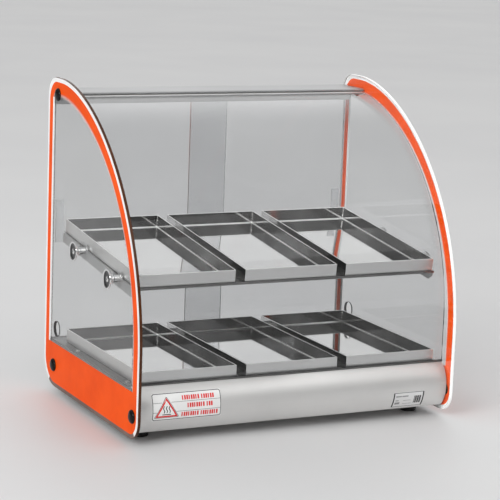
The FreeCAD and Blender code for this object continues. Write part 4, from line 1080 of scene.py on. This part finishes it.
def pale_floor():
    """A plain pale floor with the faintest clouds."""
    look, tree, shader = new_material("pale_floor", (0.78, 0.78, 0.78), 0.0, 0.55)
    cloud = spread(tree, noise(tree, 1.4, 2.0), 0, 1)
    tree.links.new(tint(tree, cloud, (0.70, 0.70, 0.705), (0.74, 0.74, 0.74)), shader.inputs["Base Color"])
    mesh = bpy.data.meshes.new("floor")
    corners = [(-FLOOR, -FLOOR, 0), (FLOOR, -FLOOR, 0), (FLOOR, FLOOR, 0), (-FLOOR, FLOOR, 0)]
    mesh.from_pydata(corners, [], [(0, 1, 2, 3)])
    mesh.materials.append(look)
    put("floor", mesh)


def studio_world():
    """A soft surround: dim low down, bright overhead, with a broad white board behind on the right."""
    world = bpy.data.worlds.new("studio")
    world.use_nodes = True
    bpy.context.scene.world = world
    tree = world.node_tree
    background = tree.nodes["Background"]
    background.inputs["Strength"].default_value = 1.0
    coordinates = add(tree, "TexCoord")

    def shade(direction, stops):
        """A grey level that rises between two stops, (position, level), towards a direction."""
        towards = add(tree, "VectorMath", operation="DOT_PRODUCT")
        towards.inputs[1].default_value = direction
        ramp = add(tree, "ValToRGB")
        tree.links.new(coordinates.outputs["Generated"], towards.inputs[0])
        tree.links.new(towards.outputs["Value"], ramp.inputs[0])
        elements = ramp.color_ramp.elements
        for element, (position, level) in zip((elements[0], elements[1]), stops):
            element.position, element.color = position, (level, level, level, 1)
        return ramp.outputs[0]

    overhead = shade((0, 0, 1), ((0.30, 0.20), (0.80, 0.80)))
    board = shade((0.44, 0.86, 0.26), ((0.76, 0.0), (0.93, 0.80)))
    factor, first, second, both = colour_mix(tree, blend_type="ADD")
    factor.default_value = 1.0
    tree.links.new(overhead, first)
    tree.links.new(board, second)
    tree.links.new(both, background.inputs[0])


def area_light(name, spot, aim, size, power):
    """A rectangular light at a spot that faces another."""
    light = bpy.data.lights.new(name, "AREA")
    light.shape = "RECTANGLE"
    light.size, light.size_y = size
    light.energy = power
    item = put(name, light)
    item.location = spot
    item.rotation_euler = (Vector(aim) - Vector(spot)).to_track_quat("-Z", "Y").to_euler()


def photo_camera():
    """The camera at the reference viewing angle."""
    yaw, pitch, roll = (math.radians(angle) for angle in CAMERA_TURN)
    forward = Vector((math.sin(yaw) * math.cos(pitch), math.cos(yaw) * math.cos(pitch), math.sin(pitch)))
    right = forward.cross(Vector((0, 0, 1))).normalized()
    up = right.cross(forward)
    across = math.cos(roll) * right + math.sin(roll) * up
    upright = -math.sin(roll) * right + math.cos(roll) * up
    data = bpy.data.cameras.new("camera")
    data.sensor_width = 36
    data.lens = CAMERA_LENS
    data.clip_start, data.clip_end = 0.05, 200
    camera = put("camera", data)
    matrix = Matrix((across, upright, -forward)).transposed().to_4x4()
    matrix.translation = CAMERA_SPOT
    camera.matrix_world = matrix
    bpy.context.scene.camera = camera


pale_floor()
studio_world()
area_light("key", (-4.1, -2.4, 2.4), (0, 0, 0.2), (2.8, 2.4), 150)
area_light("fill", (1.9, -3.5, 3.2), (0, 0, 0.2), (3.4, 2.2), 26)
photo_camera()
bpy.context.scene.view_settings.view_transform = "Standard"
